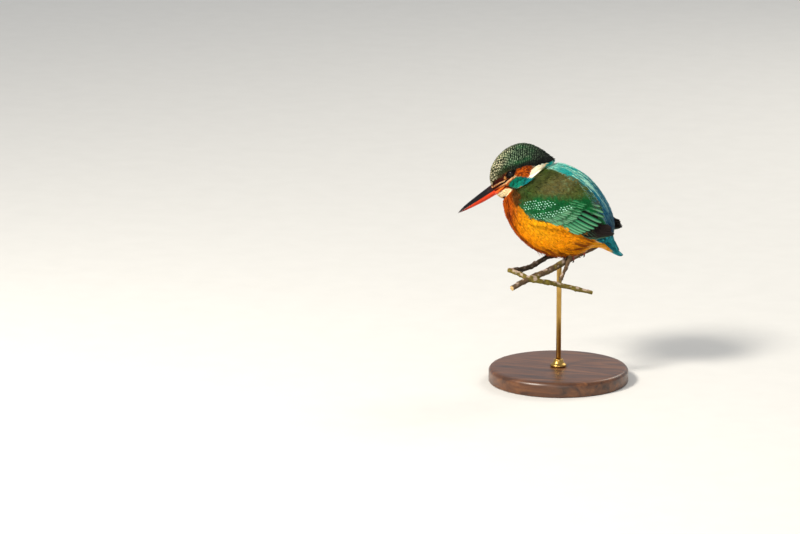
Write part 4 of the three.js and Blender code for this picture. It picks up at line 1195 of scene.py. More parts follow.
def build_crown():
    """Crown feathers in rows across the head, each with a pale bar just short of its dark tip; those of the
    nape are longer and stand out."""
    rng = np.random.default_rng(11)
    t, a = crown_roots(chosen("crown_row"), CROWN_STEP, rng)
    small = 0.72 + 0.28 * ramp(0.0, 0.3, t)
    nape = ramp(0.6, 0.95, t)
    reach = chosen("crown_feather") * small * rng.uniform(0.94, 1.06, len(t)) * (1 + 0.5 * nape)
    # on the forehead's sides they lean up towards the crown
    lean = np.sign(np.cos(a)) * 0.75 * ramp(0.02, 0.5, np.abs(np.cos(a))) * ramp(0.6, 0.15, t)
    lean = lean + rng.normal(0, 0.06, len(t))
    lifts = (-0.9, 0.25)
    tips = lines_on(HEAD, t, a, lean, reach, np.array([0, 0.5, 0.85]), lifts, (TORSO,))[0][:, 2]
    kept = (crown_share(tips) > 0.5) & outside(t, a, HEAD, (TORSO,), 1.0)
    t, a, reach, nape, lean, shown = t[kept], a[kept], reach[kept], nape[kept], lean[kept], tips[kept]
    x, z = shown[:, 0], shown[:, 2]
    bar = blend(paint("forehead_bar"), paint("crown_bar"), ramp(-61, -48, x + 0.35 * (80 - z)))
    brow = ramp(74, 68, z) * ramp(-60, -57, x) * ramp(-46, -51, x)
    bar = blend(bar, paint("sage"), 0.5 * brow)
    strength = (1.1 - ramp(0.45, 0.88, t)) * rng.uniform(0.75, 1.1, len(t))
    strength = strength * (0.7 + 0.3 * ramp(-0.4, 0.3, noise(shown, 4.0, 22)))
    inner = np.maximum(within(CROWN_OUTLINE, shown[:, ::2], 8.0), ramp(-57, -63, x))
    strength = strength * (0.1 + 0.9 * ramp(0.75, 1, inner))
    pile = Pile()
    tufts(pile, (HEAD, "head"), t, a, lean, reach, crown_colours, rng, blades=8, spread=0.33, half_width=0.28,
          lifts=lifts, others=(TORSO,), clumping=0.3 + 1.1 * nape, depth=0.3, bars=(bar, strength),
          uneven=0.04)
    pile.piece("crown_feathers", "crown", "crown_plumage")


def face_colours(t, a, points):
    """The head's markings, which depend on place alone."""
    return head_colours(points)


def build_face():
    """Cheek, ear, throat and neck feathers of the head: short barb clumps in the face's markings, bare at the
    eyes and at the bill's corners. Those of the neck's patches lap over the shoulder."""
    rng = np.random.default_rng(23)
    t, a = scatter(HEAD, (-0.02, 0.98), ALL_ROUND, chosen("face_spacing"), rng)
    roots = on_body(HEAD, t, a)
    off_eye = eye_distance(roots)
    reach = chosen("face_feather") * (0.5 + 0.8 * ramp(0.1, 0.75, t)) * (1 - 0.45 * ramp(7, 3, off_eye))
    reach = reach * (1 + 0.8 * within(NAPE_PATCH_OUTLINE, roots[:, ::2], 1.5))
    yaw = np.where(np.cos(a) > 0, 1, -1) * 0.25 * ramp(0.35, 0.7, t)
    shoulder = (np.sin(a) > -0.7) & (t > 0.45)
    lifts = (-0.7, 0.15)
    over_shoulder = 1.1
    bodies = (TORSO, CLOAK)
    shown = lines_on(HEAD, t, a, yaw, reach, np.array([0, 0.3, SHOWN]), lifts, bodies, over_shoulder)[0][:, 2]
    patches = [within(line, shown[:, ::2], 0.3) for line in (MALAR_OUTLINE, NAPE_PATCH_OUTLINE)]
    kept = outside(t, a, HEAD, (TORSO,), 0.7) | (shoulder & (np.maximum(*patches) > 0.5))
    kept &= (crown_share(roots) < 0.6) & (off_eye > 2.6)
    kept &= within(CORNER_OUTLINE, roots[:, ::2], 0.1) < 0.5
    for word, side in (("left", np.cos(a) > 0), ("right", np.cos(a) <= 0)):
        pile = Pile()
        for part, others, rest in ((shoulder, bodies, over_shoulder), (~shoulder, (TORSO,), None)):
            pick = kept & side & part
            tufts(pile, (HEAD, "head"), t[pick], a[pick], yaw[pick], reach[pick], face_colours, rng, blades=4,
                  spread=0.24, half_width=0.15, lifts=lifts, others=others, rest=rest, shade=0.16,
                  clumping=0.25, depth=0.6)
        pile.piece("face_feathers_" + word, "down", "crown_plumage")


def eye_centre(side):
    """Where an eyeball's middle lies: under its place on the head's side by what doesn't show of its
    radius."""
    t, height = EYE_PLACE
    place, _, _, normal = lie_of(HEAD, np.array([t]), np.array([on_side(side, np.radians(height))]))
    return place[0] + normal[0] * (EYE_SHOWS - chosen("eye_radius")), normal[0]


def eye_distance(points):
    """Distance from the nearer eye's middle line, for points on the head."""
    return np.minimum(*[
        size_of(np.cross(points - centre, facing)) + 20 * ((points - centre) @ facing < -3)
        for centre, facing in (eye_centre(-1), eye_centre(1))
    ])


def cloak_share(t):
    """Share of the wing's length for a share of the torso's, whose sections the wing takes over from its
    second one."""
    return (t * (len(TORSO) - 1) - 1) / (len(CLOAK) - 1)


def torso_share(t):
    """Share of the torso's length for a share of the wing's."""
    return (t * (len(CLOAK) - 1) + 1) / (len(TORSO) - 1)


LAP_BELOW, LAP_ABOVE = 8, 6  # degrees by which body feathers reach in under the folded wing


def wing_cover(t, a):
    """Where the folded wing hides the torso: between its borders, drawn in a little."""
    height = height_of(a)
    share = cloak_share(t)
    low, top = np.interp(share, *LOW_EDGE.T), np.interp(share, *WING_TOP.T)
    return (share > 0.1) & (share < 0.56) & (height > low + LAP_BELOW) & (height < top - LAP_ABOVE)


def trousers(pile, rng):
    """Loose longer tufts that stand off the belly round the legs."""
    count = 110
    t = rng.uniform(0.52, 0.76, count)
    height = np.radians(rng.uniform(-84, -30, count))
    a = np.where(rng.uniform(0, 1, count) < 0.5, height, on_side(1, height))
    yaw = rng.normal(0, 0.2, count)
    reach = rng.uniform(6, 9.5, count)
    tufts(pile, (TORSO, "torso"), t, a, yaw, reach, body_colours, rng, blades=6, spread=0.2, half_width=0.17,
          lifts=(-1.0, 1.6), shade=0.35, clumping=2.2, depth=0.3)


def build_body():
    """Breast, belly and flank feathers: tufts of soft barbs along the torso, in four pieces."""
    rng = np.random.default_rng(31)
    t, a = scatter(TORSO, (-0.02, 1.0), ALL_ROUND, chosen("body_spacing"), rng)
    height = height_of(a)
    kept = outside(t, a, TORSO, (HEAD, UPPERTAIL), 1.2) & ~wing_cover(t, a) & (height < 60)
    t, a, height = t[kept], a[kept], height[kept]
    left = np.cos(a) > 0
    reach = chosen("body_feather") * (0.55 + 0.45 * ramp(0.0, 0.35, t)) * rng.uniform(0.85, 1.15, len(t))
    yaw = np.where(left, 1, -1) * 0.12 * ramp(-80, -20, height)
    ragged = 1.0 + 1.6 * ramp(0.5, 0.66, t) * ramp(0.82, 0.76, t) * ramp(-15, -40, height)
    lower = height < -38
    for name, pick in (
        ("breast_feathers", lower & (t < 0.45)),
        ("belly_feathers", lower & (t >= 0.45)),
        ("flank_feathers_left", ~lower & left),
        ("flank_feathers_right", ~lower & ~left),
    ):
        pile = Pile()
        tufts(pile, (TORSO, "torso"), t[pick], a[pick], yaw[pick], reach[pick], body_colours, rng, blades=7,
              spread=0.18, half_width=chosen("barb_clump"), lifts=(-1.0, 0.15), others=(HEAD,), shade=0.36,
              clumping=ragged[pick], depth=0.25, uneven=0.22)
        if name == "belly_feathers":
            trousers(pile, rng)
        pile.piece(name, "down", "breast_plumage")


def build_back():
    """The back's stripe on its own higher surface, as long silky tufts."""
    rng = np.random.default_rng(37)
    t, a = scatter(BACK, (0.02, 1.0), np.radians([52, 128]), 1.38, rng)
    kept = outside(t, a, BACK, (HEAD,), 1.0)
    t, a = t[kept], a[kept]
    reach = 8.5 * rng.uniform(0.85, 1.15, len(t)) * (0.7 + 0.3 * ramp(0, 0.3, t))
    pile = Pile()
    tufts(pile, (BACK, "torso"), t, a, 0 * t, reach, back_colours, rng, blades=6, spread=0.13,
          lifts=(-1.3, 0.2), others=(HEAD,), shade=0.25, clumping=0.5)
    pile.piece("back_feathers", "silk", "breast_plumage")


def back_colours(t, a, points):
    """The stripe down the back's middle, and the mantle's olive or emerald at its sides."""
    height = height_of(a) + 3.0 * streaks(t, a, 8, 1.6, 11)
    sides = blend(paint("olive"), paint("emerald"), ramp(0.3, 0.5, t))
    edge = 61 - 3 * ramp(0.0, 0.1, t)
    return blend(sides, stripe_colours(t, a), ramp(-2, 2, height - edge))


def undertail_colours(t, a, points):
    """Orange from a root darkened brown by painted shade, with creamy tips, and teal at the rear and above
    the tail's plane.
    """
    tips = ramp(0.35, 0.9, t) * ramp(-0.5, 0.3, noise(points, 1.8, 6))
    made = blend(blend(paint("umber_shade"), paint("vent"), ramp(-0.3, 0.05, t)), paint("vent_tip"), tips)
    teal = np.maximum(ramp(0.8, 0.88, t), ramp(-1.8, -1.0, over_tail(points)[1]))
    return blend(made, tail_covert_colours(points), teal)


def uppertail_colours(t, a, points):
    """The rump's cobalt and azure, and soon the tail's teal."""
    blue = blend(paint("back_cobalt"), paint("back_azure"), ramp(-0.2, 0.6, noise(points, 1.6, 4)))
    return blend(blue, tail_covert_colours(points), ramp(0.1, 0.4, t))


def build_tail_coverts():
    """Undertail and uppertail coverts, tapering out along the tail."""
    for name, sections, colours, finish_name, seed in (
        ("undertail", UNDERTAIL, undertail_colours, "down", 41),
        ("uppertail", UPPERTAIL, uppertail_colours, "silk", 43),
    ):
        rng = np.random.default_rng(seed)
        t, a = scatter(sections, (0, 1.0), ALL_ROUND, 1.0, rng)
        kept = outside(t, a, sections, (TORSO,), 0.6)
        t, a = t[kept], a[kept]
        reach = rng.uniform(4.0, 6.0, len(t)) * (1 - 0.4 * ramp(0.6, 1, t))
        pile = Pile()
        tufts(pile, (sections, name), t, a, 0 * t, reach, colours, rng, spread=0.16, lifts=(-0.9, 0.15),
              others=(TORSO,), clumping=0.3)
        pile.piece(name + "_coverts", finish_name, "breast_plumage")


# ---------- wings ----------

# Lines on the folded wing, as share of the cloak's length and degrees above its middle.
LOW_EDGE = np.array([
    [0.1, -12], [0.163, -19], [0.235, -17], [0.292, -17], [0.367, -7], [0.417, 1], [0.443, 6], [0.517, 11],
    [0.615, 13],
])
GREEN_EDGE = np.array([[0.12, -11], [0.182, 6], [0.3, 24], [0.35, 32], [0.417, 58]])
# The two bands of pale spots on the small coverts, x and z.
SPOT_BANDS = (
    [
        (-36.6, 42.4), (-34.4, 46.7), (-30.1, 48.6), (-23.9, 49.0), (-17.0, 49.8), (-11.1, 48.7),
        (-7.5, 46.4), (-12.7, 44.9), (-19.6, 42.3), (-27.7, 42.2), (-35.0, 41.0),
    ],
    [
        (-28.7, 37.3), (-21.3, 39.9), (-13.4, 41.0), (-7.9, 43.5), (-2.2, 46.0), (2.4, 46.5), (3.6, 43.6),
        (-3.9, 39.8), (-10.6, 37.5), (-17.3, 35.2), (-25.3, 33.8),
    ],
)
# Roots and tips of the long feathers: tertials, secondaries from the top one, and primaries.
SECONDARY_ROOTS = np.array([
    (0.41, 50), (0.4, 42), (0.41, 37), (0.42, 31), (0.425, 26), (0.42, 20), (0.415, 16), (0.405, 11),
    (0.4, 7), (0.39, 3),
])
SECONDARY_TIPS = np.array([
    (0.51, 66), (0.565, 66), (0.605, 62), (0.635, 52), (0.642, 43), (0.643, 35), (0.63, 28.5), (0.618, 23),
    (0.61, 18.5), (0.6, 14.5),
])
PRIMARY_ROOTS = np.array([(0.5, 52), (0.54, 34), (0.52, 18)])
PRIMARY_TIPS = np.array([(0.79, 54), (0.9, 34), (0.99, 19), (0.93, 14), (0.84, 14)])
# Tips of the greater coverts, from the top one.
COVERT_TIPS = np.array([
    (0.445, 48), (0.455, 40), (0.478, 31), (0.485, 24), (0.48, 16), (0.465, 9), (0.45, 4),
])


def lie_slope(height):
    """Degrees that a feather of the wing climbs over the whole of the cloak's length, by its height."""
    return np.interp(height, [-20, 10, 30, 60], [35, 60, 105, 140])


def wing_line(side, start, end, lifts, roll):
    """Stations of vanes on the cloak, straight in share of length and degrees from start to end."""
    t = start[:, 0, None] + (end[:, 0] - start[:, 0])[:, None] * VANE_SHARES
    height = np.radians(start[:, 1, None] + (end[:, 1] - start[:, 1])[:, None] * VANE_SHARES)
    place, _, _, normal = lie_of(CLOAK, t, on_side(side, height))
    lift = lifts[0] + (np.asarray(lifts[1])[..., None] - lifts[0]) * VANE_SHARES
    return framed(place + normal * lift[..., None], normal, VANE_SHARES, -side * np.radians(roll))


def wing_bake(side, start):
    """The place of wing feathers on the bake map: that of their roots over the torso."""
    return bake_place(torso_share(start[:, 0]), on_side(side, np.radians(start[:, 1])), "torso")


LINING_TOP, LINING_FLOOR = 0.9, 2.6  # how far under the cloak the lining's two surfaces lie
VANE_SHARES = np.array([0, 0.04, 0.2, 0.4, 0.58, 0.74, 0.85, 0.93, 0.98, 1])
VANE_WIDTHS = np.array([0, 0.35, 0.75, 0.95, 1, 0.98, 0.88, 0.66, 0.36, 0])


def vane_colours(base, rng, amount, root_shade):
    """Colours for each feather and station, with painted shade towards the root, to be blended further over
    the points of the vane's profile.
    """
    return shaded(base, rng, amount, VANE_SHARES, root_shade)[:, :, None]


def mantle_colours(t, a, points):
    """Olive shoulder with a browner middle, emerald towards the rear and dark brown in front below."""
    height = height_of(a)
    made = blend(paint("olive"), paint("olive_brown"), hump(t, 0.19, 0.12) * ramp(0, 25, height))
    mottle = noise(points, 1.7, 2) + 0.7 * noise(points, 4.5, 3)
    flecks = ramp(0.25, 0.7, noise(points, 1.0, 4)) * ramp(0.05, 0.2, t)
    made = made * (1 + 0.45 * mottle)[:, None] * (1 - 0.3 * ramp(0.15, 0.05, t))[:, None]
    made = blend(made, paint("sage"), 0.4 * ramp(0.3, 0.9, mottle) * ramp(0.05, 0.2, t) + 0.3 * flecks)
    above = np.interp(t, *GREEN_EDGE.T) - height + 7 * mottle
    made = blend(made, paint("emerald"), ramp(-17, 6, above))
    made = blend(made, paint("primary") * 2 + 0.08, 0.7 * (hump(t, 0.475, 0.03) * ramp(52, 58, height)))
    brown = blend(paint("neck_brown"), paint("olive") * 0.6, ramp(-17, -4, height + 5 * mottle))
    made = blend(made, brown, ramp(6, -6, height) * ramp(0.19, 0.12, t))
    below = ramp(13, 17, height - 100 * t) * ramp(28, 23, height - 100 * t)
    made = blend(made, paint("malar"), ramp(0.03, 0.01, t) * below)
    line = ramp(9, 11, height - 150 * t) * ramp(16, 14, height - 150 * t)
    return blend(made, paint("nape"), ramp(0.05, 0.02, t) * line)


def build_lining(side, word):
    """A closed shell under the wing's feathers, between its borders, dark with painted shade where it shows
    between them.
    """
    q, s = np.linspace(0, 1, 24), np.linspace(0, 1, 40)
    low, top = along(WING_LOW, s), along(WING_TOP, s)
    low[:, 1] = np.maximum(low[:, 1], np.interp(low[:, 0], *LOW_EDGE.T)) + 2
    t = low[:, None, 0] + (top - low)[:, None, 0] * q
    height = low[:, None, 1] + (top - 3 - low)[:, None, 1] * q
    place, _, _, normal = lie_of(CLOAK, t, on_side(side, np.radians(height)))
    outer, inner = place - LINING_TOP * normal, place - LINING_FLOOR * normal
    shape = closed_rings(np.concatenate([outer, inner[:, ::-1]], axis=1))
    near_t, near_a, _ = locate(CLOAK, shape[0])
    # painted shade: the wing's own colours at half strength, to show dark in the gaps between feathers
    base = mantle_colours(near_t, near_a, shape[0]) * 0.5
    base = blend(base, paint("secondary_dark"), ramp(0.38, 0.44, near_t))
    new_piece("wing_lining_" + word, shape, "skin", ("wing_" + word,), base)


def build_primaries(side, word, upper, rng):
    """Long dark feathers of the wing's tip, with paler lower edges on the outermost."""
    count = 10
    share = np.linspace(0, 1, count)
    start, end = along(PRIMARY_ROOTS, share), along(PRIMARY_TIPS, share)
    edge = ramp(-0.6, -0.85, upper) * ramp(0.35, 0.8, share)[:, None, None]
    base = np.tile(paint("primary"), (count, 1))
    colours = blend(vane_colours(base, rng, 0.2, 0.8), paint("sage") * 0.6, edge)
    # the right wing is folded a little looser
    loose = -0.3 + (3.6 * ramp(0.7, 0.1, share) if side > 0 else 0 * share)
    lines = wing_line(side, start, end, (-1.5, loose), 12)
    half = np.linspace(2.5, 1.9, count)[:, None] * VANE_WIDTHS
    pile = Pile()
    pile.add(lines, half, 0.14, VANE, colours, wing_bake(side, start), 0.1)
    pile.piece("primaries_" + word, "vane", "wing_plumage")


def build_secondaries(side, word, upper, rng):
    """Sea green outer webs, with paler lower parts, between dark lines: the dark inner webs, and a dark rim
    on each lower edge, partly the edge's own dark and partly painted shadow of the gap under it.
    """
    greyer = np.array([0.7, 0.5, 0.25, 0, 0, 0, 0.1, 0.15, 0.2, 0.25])
    green = blend(paint("secondary"), paint("sage"), greyer)
    pale = ramp(0.1, -0.5, upper) * ramp(-1, -0.7, upper) * ramp(0.25, 0.7, VANE_SHARES)[:, None]
    colours = blend(vane_colours(green, rng, 0.08, 0.8), paint("secondary_edge"), 0.5 * pale)
    # the dark rim of each lower edge: partly the feather's own dark edge, partly painted shadow of the gap
    # below
    fringe = np.array([0.8, 0.6, 1, 1, 1, 1, 0.8, 0.5, 0.4, 0.35])[:, None, None]
    dark = ramp(-0.68, -0.76, upper) * fringe + ramp(0.3, 0.5, upper) + ramp(0.95, 1.0, VANE_SHARES)[:, None]
    colours = blend(colours, paint("secondary_dark"), np.clip(dark, 0, 1))
    lines = wing_line(side, SECONDARY_ROOTS, SECONDARY_TIPS, (-0.7, 0.55), 11)
    half = np.array([1.9, 2.0, 2.1, 2.0, 1.9, 1.85, 1.8, 1.75, 1.7, 1.7])[:, None] * VANE_WIDTHS
    pile = Pile()
    pile.add(lines, half, 0.1, VANE, colours, wing_bake(side, SECONDARY_ROOTS), 0.04)
    pile.piece("secondaries_" + word, "vane", "wing_plumage")


def build_coverts(side, word, upper, rng):
    """Greater coverts over the secondaries' roots, in two tiers."""
    pile = Pile()
    for count, back, half, lift in ((15, 0.0, 1.5, 0.5), (14, 0.05, 1.35, 0.62)):
        share = (np.arange(count) + 0.5 * (back > 0)) / (count - 1)
        end = along(COVERT_TIPS, share) - np.array([back, back * 70])
        end = end + rng.normal(0, [0.004, 0.4], end.shape)
        start = end - 0.13 * np.stack([1 + 0 * share, lie_slope(end[:, 1])], -1)
        base = blend(paint("emerald"), paint("sage"), ramp(0.1, 0.45, share))
        base = blend(base, paint("secondary"), 0.5 * rng.uniform(0, 1, count))
        pale = ramp(-0.3, -0.7, upper) * ramp(0.3, 0.8, VANE_SHARES)[:, None]
        colours = blend(vane_colours(base, rng, 0.15, 0.5), paint("secondary_edge"), 0.3 * pale)
        dark = ramp(0.2, 0.6, upper) * ramp(0.0, 0.3, VANE_SHARES)[:, None]
        colours = colours * (1 - 0.6 * dark)[..., None]
        lines = wing_line(side, start, end, (-0.8, lift), 8)
        pile.add(lines, half * VANE_WIDTHS, 0.08, VANE, colours, wing_bake(side, start), 0.04)
    pile.piece("greater_coverts_" + word, "vane", "wing_plumage")


def spot_places(rng):
    """Share of length and angle of the pale spots on the left wing: a slanting lattice over both bands, each
    row half a step aside of the one before."""
    i, j = np.meshgrid(np.arange(-12, 13), np.arange(-9, 10), indexing="ij")
    i, j = i.ravel() + 0.5 * (j.ravel() % 2), j.ravel()
    slant = np.radians(13)
    x = -16 + 2.2 * i * np.cos(slant) - 1.75 * j * np.sin(slant) + rng.normal(0, 0.2, len(i))
    z = 42 + 2.2 * i * np.sin(slant) + 1.75 * j * np.cos(slant) + rng.normal(0, 0.2, len(i))
    points = np.stack([x, 0 * x, z], -1)
    kept = np.maximum(*[within(band, points[:, ::2], 0.3) for band in SPOT_BANDS]) > 0.5
    t, a, reach = locate(CLOAK, points[kept])
    return t, np.arcsin(np.clip(reach * np.sign(a), -1, 1))


def has_small_coverts(t, a):
    """Where the small coverts grow: from just under the wing's low edge to a little over its green."""
    height = height_of(a)
    return (height > np.interp(t + 0.07, *LOW_EDGE.T) - 2) & (height < np.interp(t, *GREEN_EDGE.T) + 4)


def small_covert_colours(t, a, points):
    """Uneven emerald, sage towards the rear and the low edge, and olive next to the mantle."""
    height = height_of(a)
    made = blend(paint("emerald"), paint("sage"), 0.85 * ramp(0.33, 0.42, t) * ramp(22, 6, height))
    low = np.interp(t, *LOW_EDGE.T)
    made = blend(made, paint("sage"), 0.8 * ramp(7, 1, height - low) * ramp(0.2, 0.28, t))
    made = made * (1 + 0.3 * noise(points, 1.5, 8))[:, None]
    return blend(made, paint("olive"), 0.8 * ramp(-3, 3, height - np.interp(t, *GREEN_EDGE.T)))


def build_small_coverts(side, word, rng):
    """Small soft coverts, emerald, in two bands each with a pale spot near its tip."""
    t, a = scatter(CLOAK, (0.06, 0.4), side_span(side, -28, 60), 1.38, rng, has_small_coverts)
    per_t, per_a = spans(CLOAK, t, a)
    forwards = 0.072 * rng.uniform(0.9, 1.1, len(t))
    upwards = -side * (forwards * np.radians(lie_slope(height_of(a)))) * per_a
    forwards = forwards * per_t
    pile = Pile()
    tufts(pile, (CLOAK, "torso"), t, a, np.arctan2(upwards, forwards), np.hypot(forwards, upwards),
          small_covert_colours, rng, blades=7, spread=0.24, half_width=0.21, lifts=(-1.0, 0.5), shade=0.25,
          uneven=0.08)
    pile.piece("small_coverts_" + word, "silk", "wing_plumage")

    t, a = spot_places(rng)
    a = on_side(side, a)
    shares = np.array([0, 0.2, 0.55, 0.85, 1])
    long = rng.uniform(0.9, 1.4, len(t))
    lines = lines_on(CLOAK, t, a, np.full(len(t), -side * 0.5), long, shares, (0.35, 0.7))
    half = rng.uniform(0.3, 0.46, len(t))[:, None] * np.array([0, 0.8, 1, 0.8, 0])
    base = np.tile(paint("covert_spot"), (len(t), 1))
    pile = Pile()
    pile.add(lines, half, 0.09, LEAF, shaded(base, rng, 0.4, shares, 0.9), bake_place(t, a, "torso"), 0.1)
    pile.piece("covert_spots_" + word, "silk", "wing_plumage")


def has_mantle(t, a):
    """Where shoulder and mantle have feathers of their own: over the small coverts, up to the wing's top."""
    height = height_of(a)
    low = np.interp(t, [0.0, 0.1, 0.15, 0.2, 0.3, 0.36, 0.45], [-27, -22, -6, 6, 22, 32, 44])
    return (height > low) & (height < np.interp(t, *WING_TOP.T))


def fringe_colours(t, a, points):
    """The torso's colours from a little below each place."""
    return body_colours(torso_share(t), a - np.sign(np.cos(a)) * np.radians(8), points)


def build_mantle(side, word):
    """Soft mottled feathers of shoulder and mantle, and the flank feathers that lap over the wing's low
    edge."""
    rng = np.random.default_rng(57)
    t, a = scatter(CLOAK, (0.0, 0.5), side_span(side, -28, 70), 1.5, rng, has_mantle)
    yaw = -side * (0.18 + 0.2 * ramp(0.1, 0.4, t))
    reach = 6.0 * rng.uniform(0.85, 1.15, len(t)) * (0.65 + 0.35 * ramp(0, 0.2, t))
    reach = reach * (1 - 0.25 * ramp(0.4, 0.5, t))
    pile = Pile()
    tufts(pile, (CLOAK, "torso"), t, a, yaw, reach, mantle_colours, rng, blades=7, spread=0.3,
          half_width=0.21, lifts=(-1.0, 0.55), shade=0.22, clumping=0.2, tip_light=1.2)
    pile.piece("mantle_" + word, "down", "wing_plumage")

    t = 0.15 + 0.35 * (np.linspace(0, 1, 110) + rng.uniform(-0.004, 0.004, 110))
    height = np.interp(t, *LOW_EDGE.T) - 4.5 + rng.normal(0, 1.3, len(t))
    reach = rng.uniform(5.5, 8.5, len(t))
    yaw = -side * np.interp(t, [0.15, 0.35, 0.6], [0.1, 0.2, 0.3])
    pile = Pile()
    a = on_side(side, np.radians(height))
    tufts(pile, (CLOAK, "torso"), t - 0.03, a, yaw, reach, fringe_colours, rng, blades=6, spread=0.2,
          half_width=0.17, lifts=(-1.2, 0.7), shade=0.25, clumping=0.6)
    pile.piece("flank_fringe_" + word, "down", "breast_plumage")


def build_wing(side):
    """One folded wing, from its lining outwards."""
    word = "left" if side < 0 else "right"
    rng = np.random.default_rng(51)
    upper = -side * VANE[:, 0]  # 1 at a feather's edge towards the back
    build_lining(side, word)
    build_primaries(side, word, upper, rng)
    build_secondaries(side, word, upper, rng)
    build_coverts(side, word, upper, rng)
    build_small_coverts(side, word, rng)
    build_mantle(side, word)


# ---------- tail ----------

TAIL_PAIRS = 6
TAIL_STRIP = 0.515  # height of the tail's row on the bake map, between those of torso and head


def build_tail():
    """Twelve tail feathers in a closed fan, the middle pair on top, teal with dark shafts and inner edges and
    a painted highlight along each web.
    """
    root, tip = np.array(TAIL_ROOT), np.array(TAIL_TIP)
    forward = unit(tip - root)
    up = np.array([-forward[2], 0, forward[0]])
    pair = np.tile(np.arange(TAIL_PAIRS), 2)
    side = np.repeat([-1.0, 1.0], TAIL_PAIRS)
    turn = -side * np.radians(0.2 + 0.25 * pair)
    line = forward * np.cos(turn)[:, None] + np.cross(up, forward) * np.sin(turn)[:, None]
    start = root - 0.24 * pair[:, None] * up + (side * (0.5 + 0.62 * pair))[:, None] * np.array([0, 1, 0])
    long = size_of(tip - root) * (1 - 0.002 * pair**2)
    shares = np.array([0, 0.03, 0.2, 0.4, 0.6, 0.78, 0.92, 0.972, 0.993, 1])
    widths = np.array([0, 0.5, 0.9, 1, 1, 1, 1, 0.96, 0.75, 0])
    centre = start[:, None] + line[:, None] * (long[:, None] * shares)[..., None]
    lines = framed(centre, np.broadcast_to(up, centre.shape), shares)
    base = np.tile(paint("tail_blue"), (len(pair), 1))
    colours = shaded(base, np.random.default_rng(61), 0.3, shares, 0.8)[:, :, None]
    over = np.abs(VANE[:, 0])
    # painted highlight: a lighter band along each web
    colours = blend(colours, paint("tail_highlight"), 0.85 * (ramp(0.1, 0.4, over) * ramp(0.8, 0.5, over)))
    dark = np.clip(ramp(0.1, 0.0, over) + ramp(0.7, 1.0, over), 0, 1)
    dark = np.maximum(dark, 0.7 * ramp(0.94, 1.0, shares)[:, None])
    colours = blend(colours, paint("tail_shaft"), dark)
    bake = np.stack([np.linspace(0.1, 0.9, len(pair)), np.full(len(pair), TAIL_STRIP)], -1)
    pile = Pile()
    pile.add(lines, 2.2 * widths, 0.14, VANE, colours, bake, 0.08)
    pile.piece("tail_feathers", "vane", "tail_plumage", "tail")


# ---------- bill ----------

# The bare red corner of the mouth on the head's side: share of the head's length, degrees, half width.
CORNER_LINE = np.array([
    (-0.04, -36, 2.0), (0.06, -33, 1.75), (0.15, -28, 1.45), (0.24, -23.5, 1.05), (0.32, -20, 0.6),
    (0.37, -18, 0.15),
])


def mandible(outer_line, roof):
    """Rings between a mandible's outer line and the gape: flat on the gape, arched by a power of the sine
    outside. The upper one, whose roof is 1, has a groove that holds a slit for each nostril."""
    t = np.linspace(0, 1, 120)
    a = np.linspace(0, np.pi, 41)
    half, gape, outer = along(BILL_HALF_WIDTH, t), along(GAPE, t), along(outer_line, t)
    lift = np.sin(a) ** (0.9 if roof > 0 else 0.8)
    x = gape[:, None, 0] + (outer - gape)[:, None, 0] * lift
    z = gape[:, None, 1] + (outer - gape)[:, None, 1] * lift + 0.06 * roof
    y = -half * np.cos(a) * (1 - 0.12 * np.sin(a) ** 2)
    if roof > 0:
        # distances from the nostril along the bill and across it
        down = (x - NOSTRIL[0]) * -0.78 + (z - NOSTRIL[2]) * -0.62
        across = (x - NOSTRIL[0]) * -0.62 + (z - NOSTRIL[2]) * 0.78
        slit = np.exp(-((down / 1.5) ** 4)) * hump(across, 0, 0.34)
        groove = hump(across, 0, 0.9) * ramp(12, 2, np.abs(down))
        y = y - np.sign(y) * (0.55 * slit + 0.22 * groove) * ramp(0.15, 0.5, np.abs(np.cos(a)))
    arch = np.stack([x, y, z], -1)
    floor_y = half * np.linspace(1, -1, 9)[1:-1]
    floor = np.stack([gape[:, :1] + 0 * floor_y, floor_y, gape[:, 1:] + 0 * floor_y + 0.06 * roof], -1)
    return closed_rings(np.concatenate([arch, floor], axis=1))


def build_bill():
    """Both mandibles, and the corners of the mouth as long leaves that carry the lower one's red back under
    the eye."""
    black, red = paint("horn_black"), paint("horn_red")
    for name, outer_line, roof, slot in (
        ("upper", CULMEN, 1, "upper_bill"),
        ("lower", GONYS, -1, "lower_bill"),
    ):
        shape = mandible(outer_line, roof)
        flat = shape[0][:, ::2]
        far = size_of(flat - BILL_TIP)
        if roof > 0:
            shade = blend(black, paint("lore"), 0.4 * ramp(30, 42, far))
            shade = blend(shade, paint("gape_line"), 0.8 * beside(UPPER_LINE, flat, 0.2))
        else:
            shade = blend(red, black, 0.9 * ramp(15, 2, far))
            shade = blend(shade, red * 1.25, 0.5 * ramp(24, 36, far))
        new_piece(name + "_mandible", shape, "horn", ("bill_" + name,), shade)

    shares = np.linspace(0, 1, 24)
    t, height, half = along(CORNER_LINE, shares).T
    shade = blend(red * 1.25, paint("ear"), ramp(0.2, 0.9, shares))[None]
    bake = bake_place(t[:1], np.radians(height[:1]), "head")
    pile = Pile()
    for side in (-1, 1):
        place, _, _, normal = lie_of(HEAD, t, on_side(side, np.radians(height)))
        lines = framed((place - normal * 0.25)[None], normal[None], shares)
        pile.add(lines, half, 0.5, VANE, shade, bake, 0.12)
    pile.piece("mouth_corners", "horn", "lower_bill")


# ---------- eyes ----------

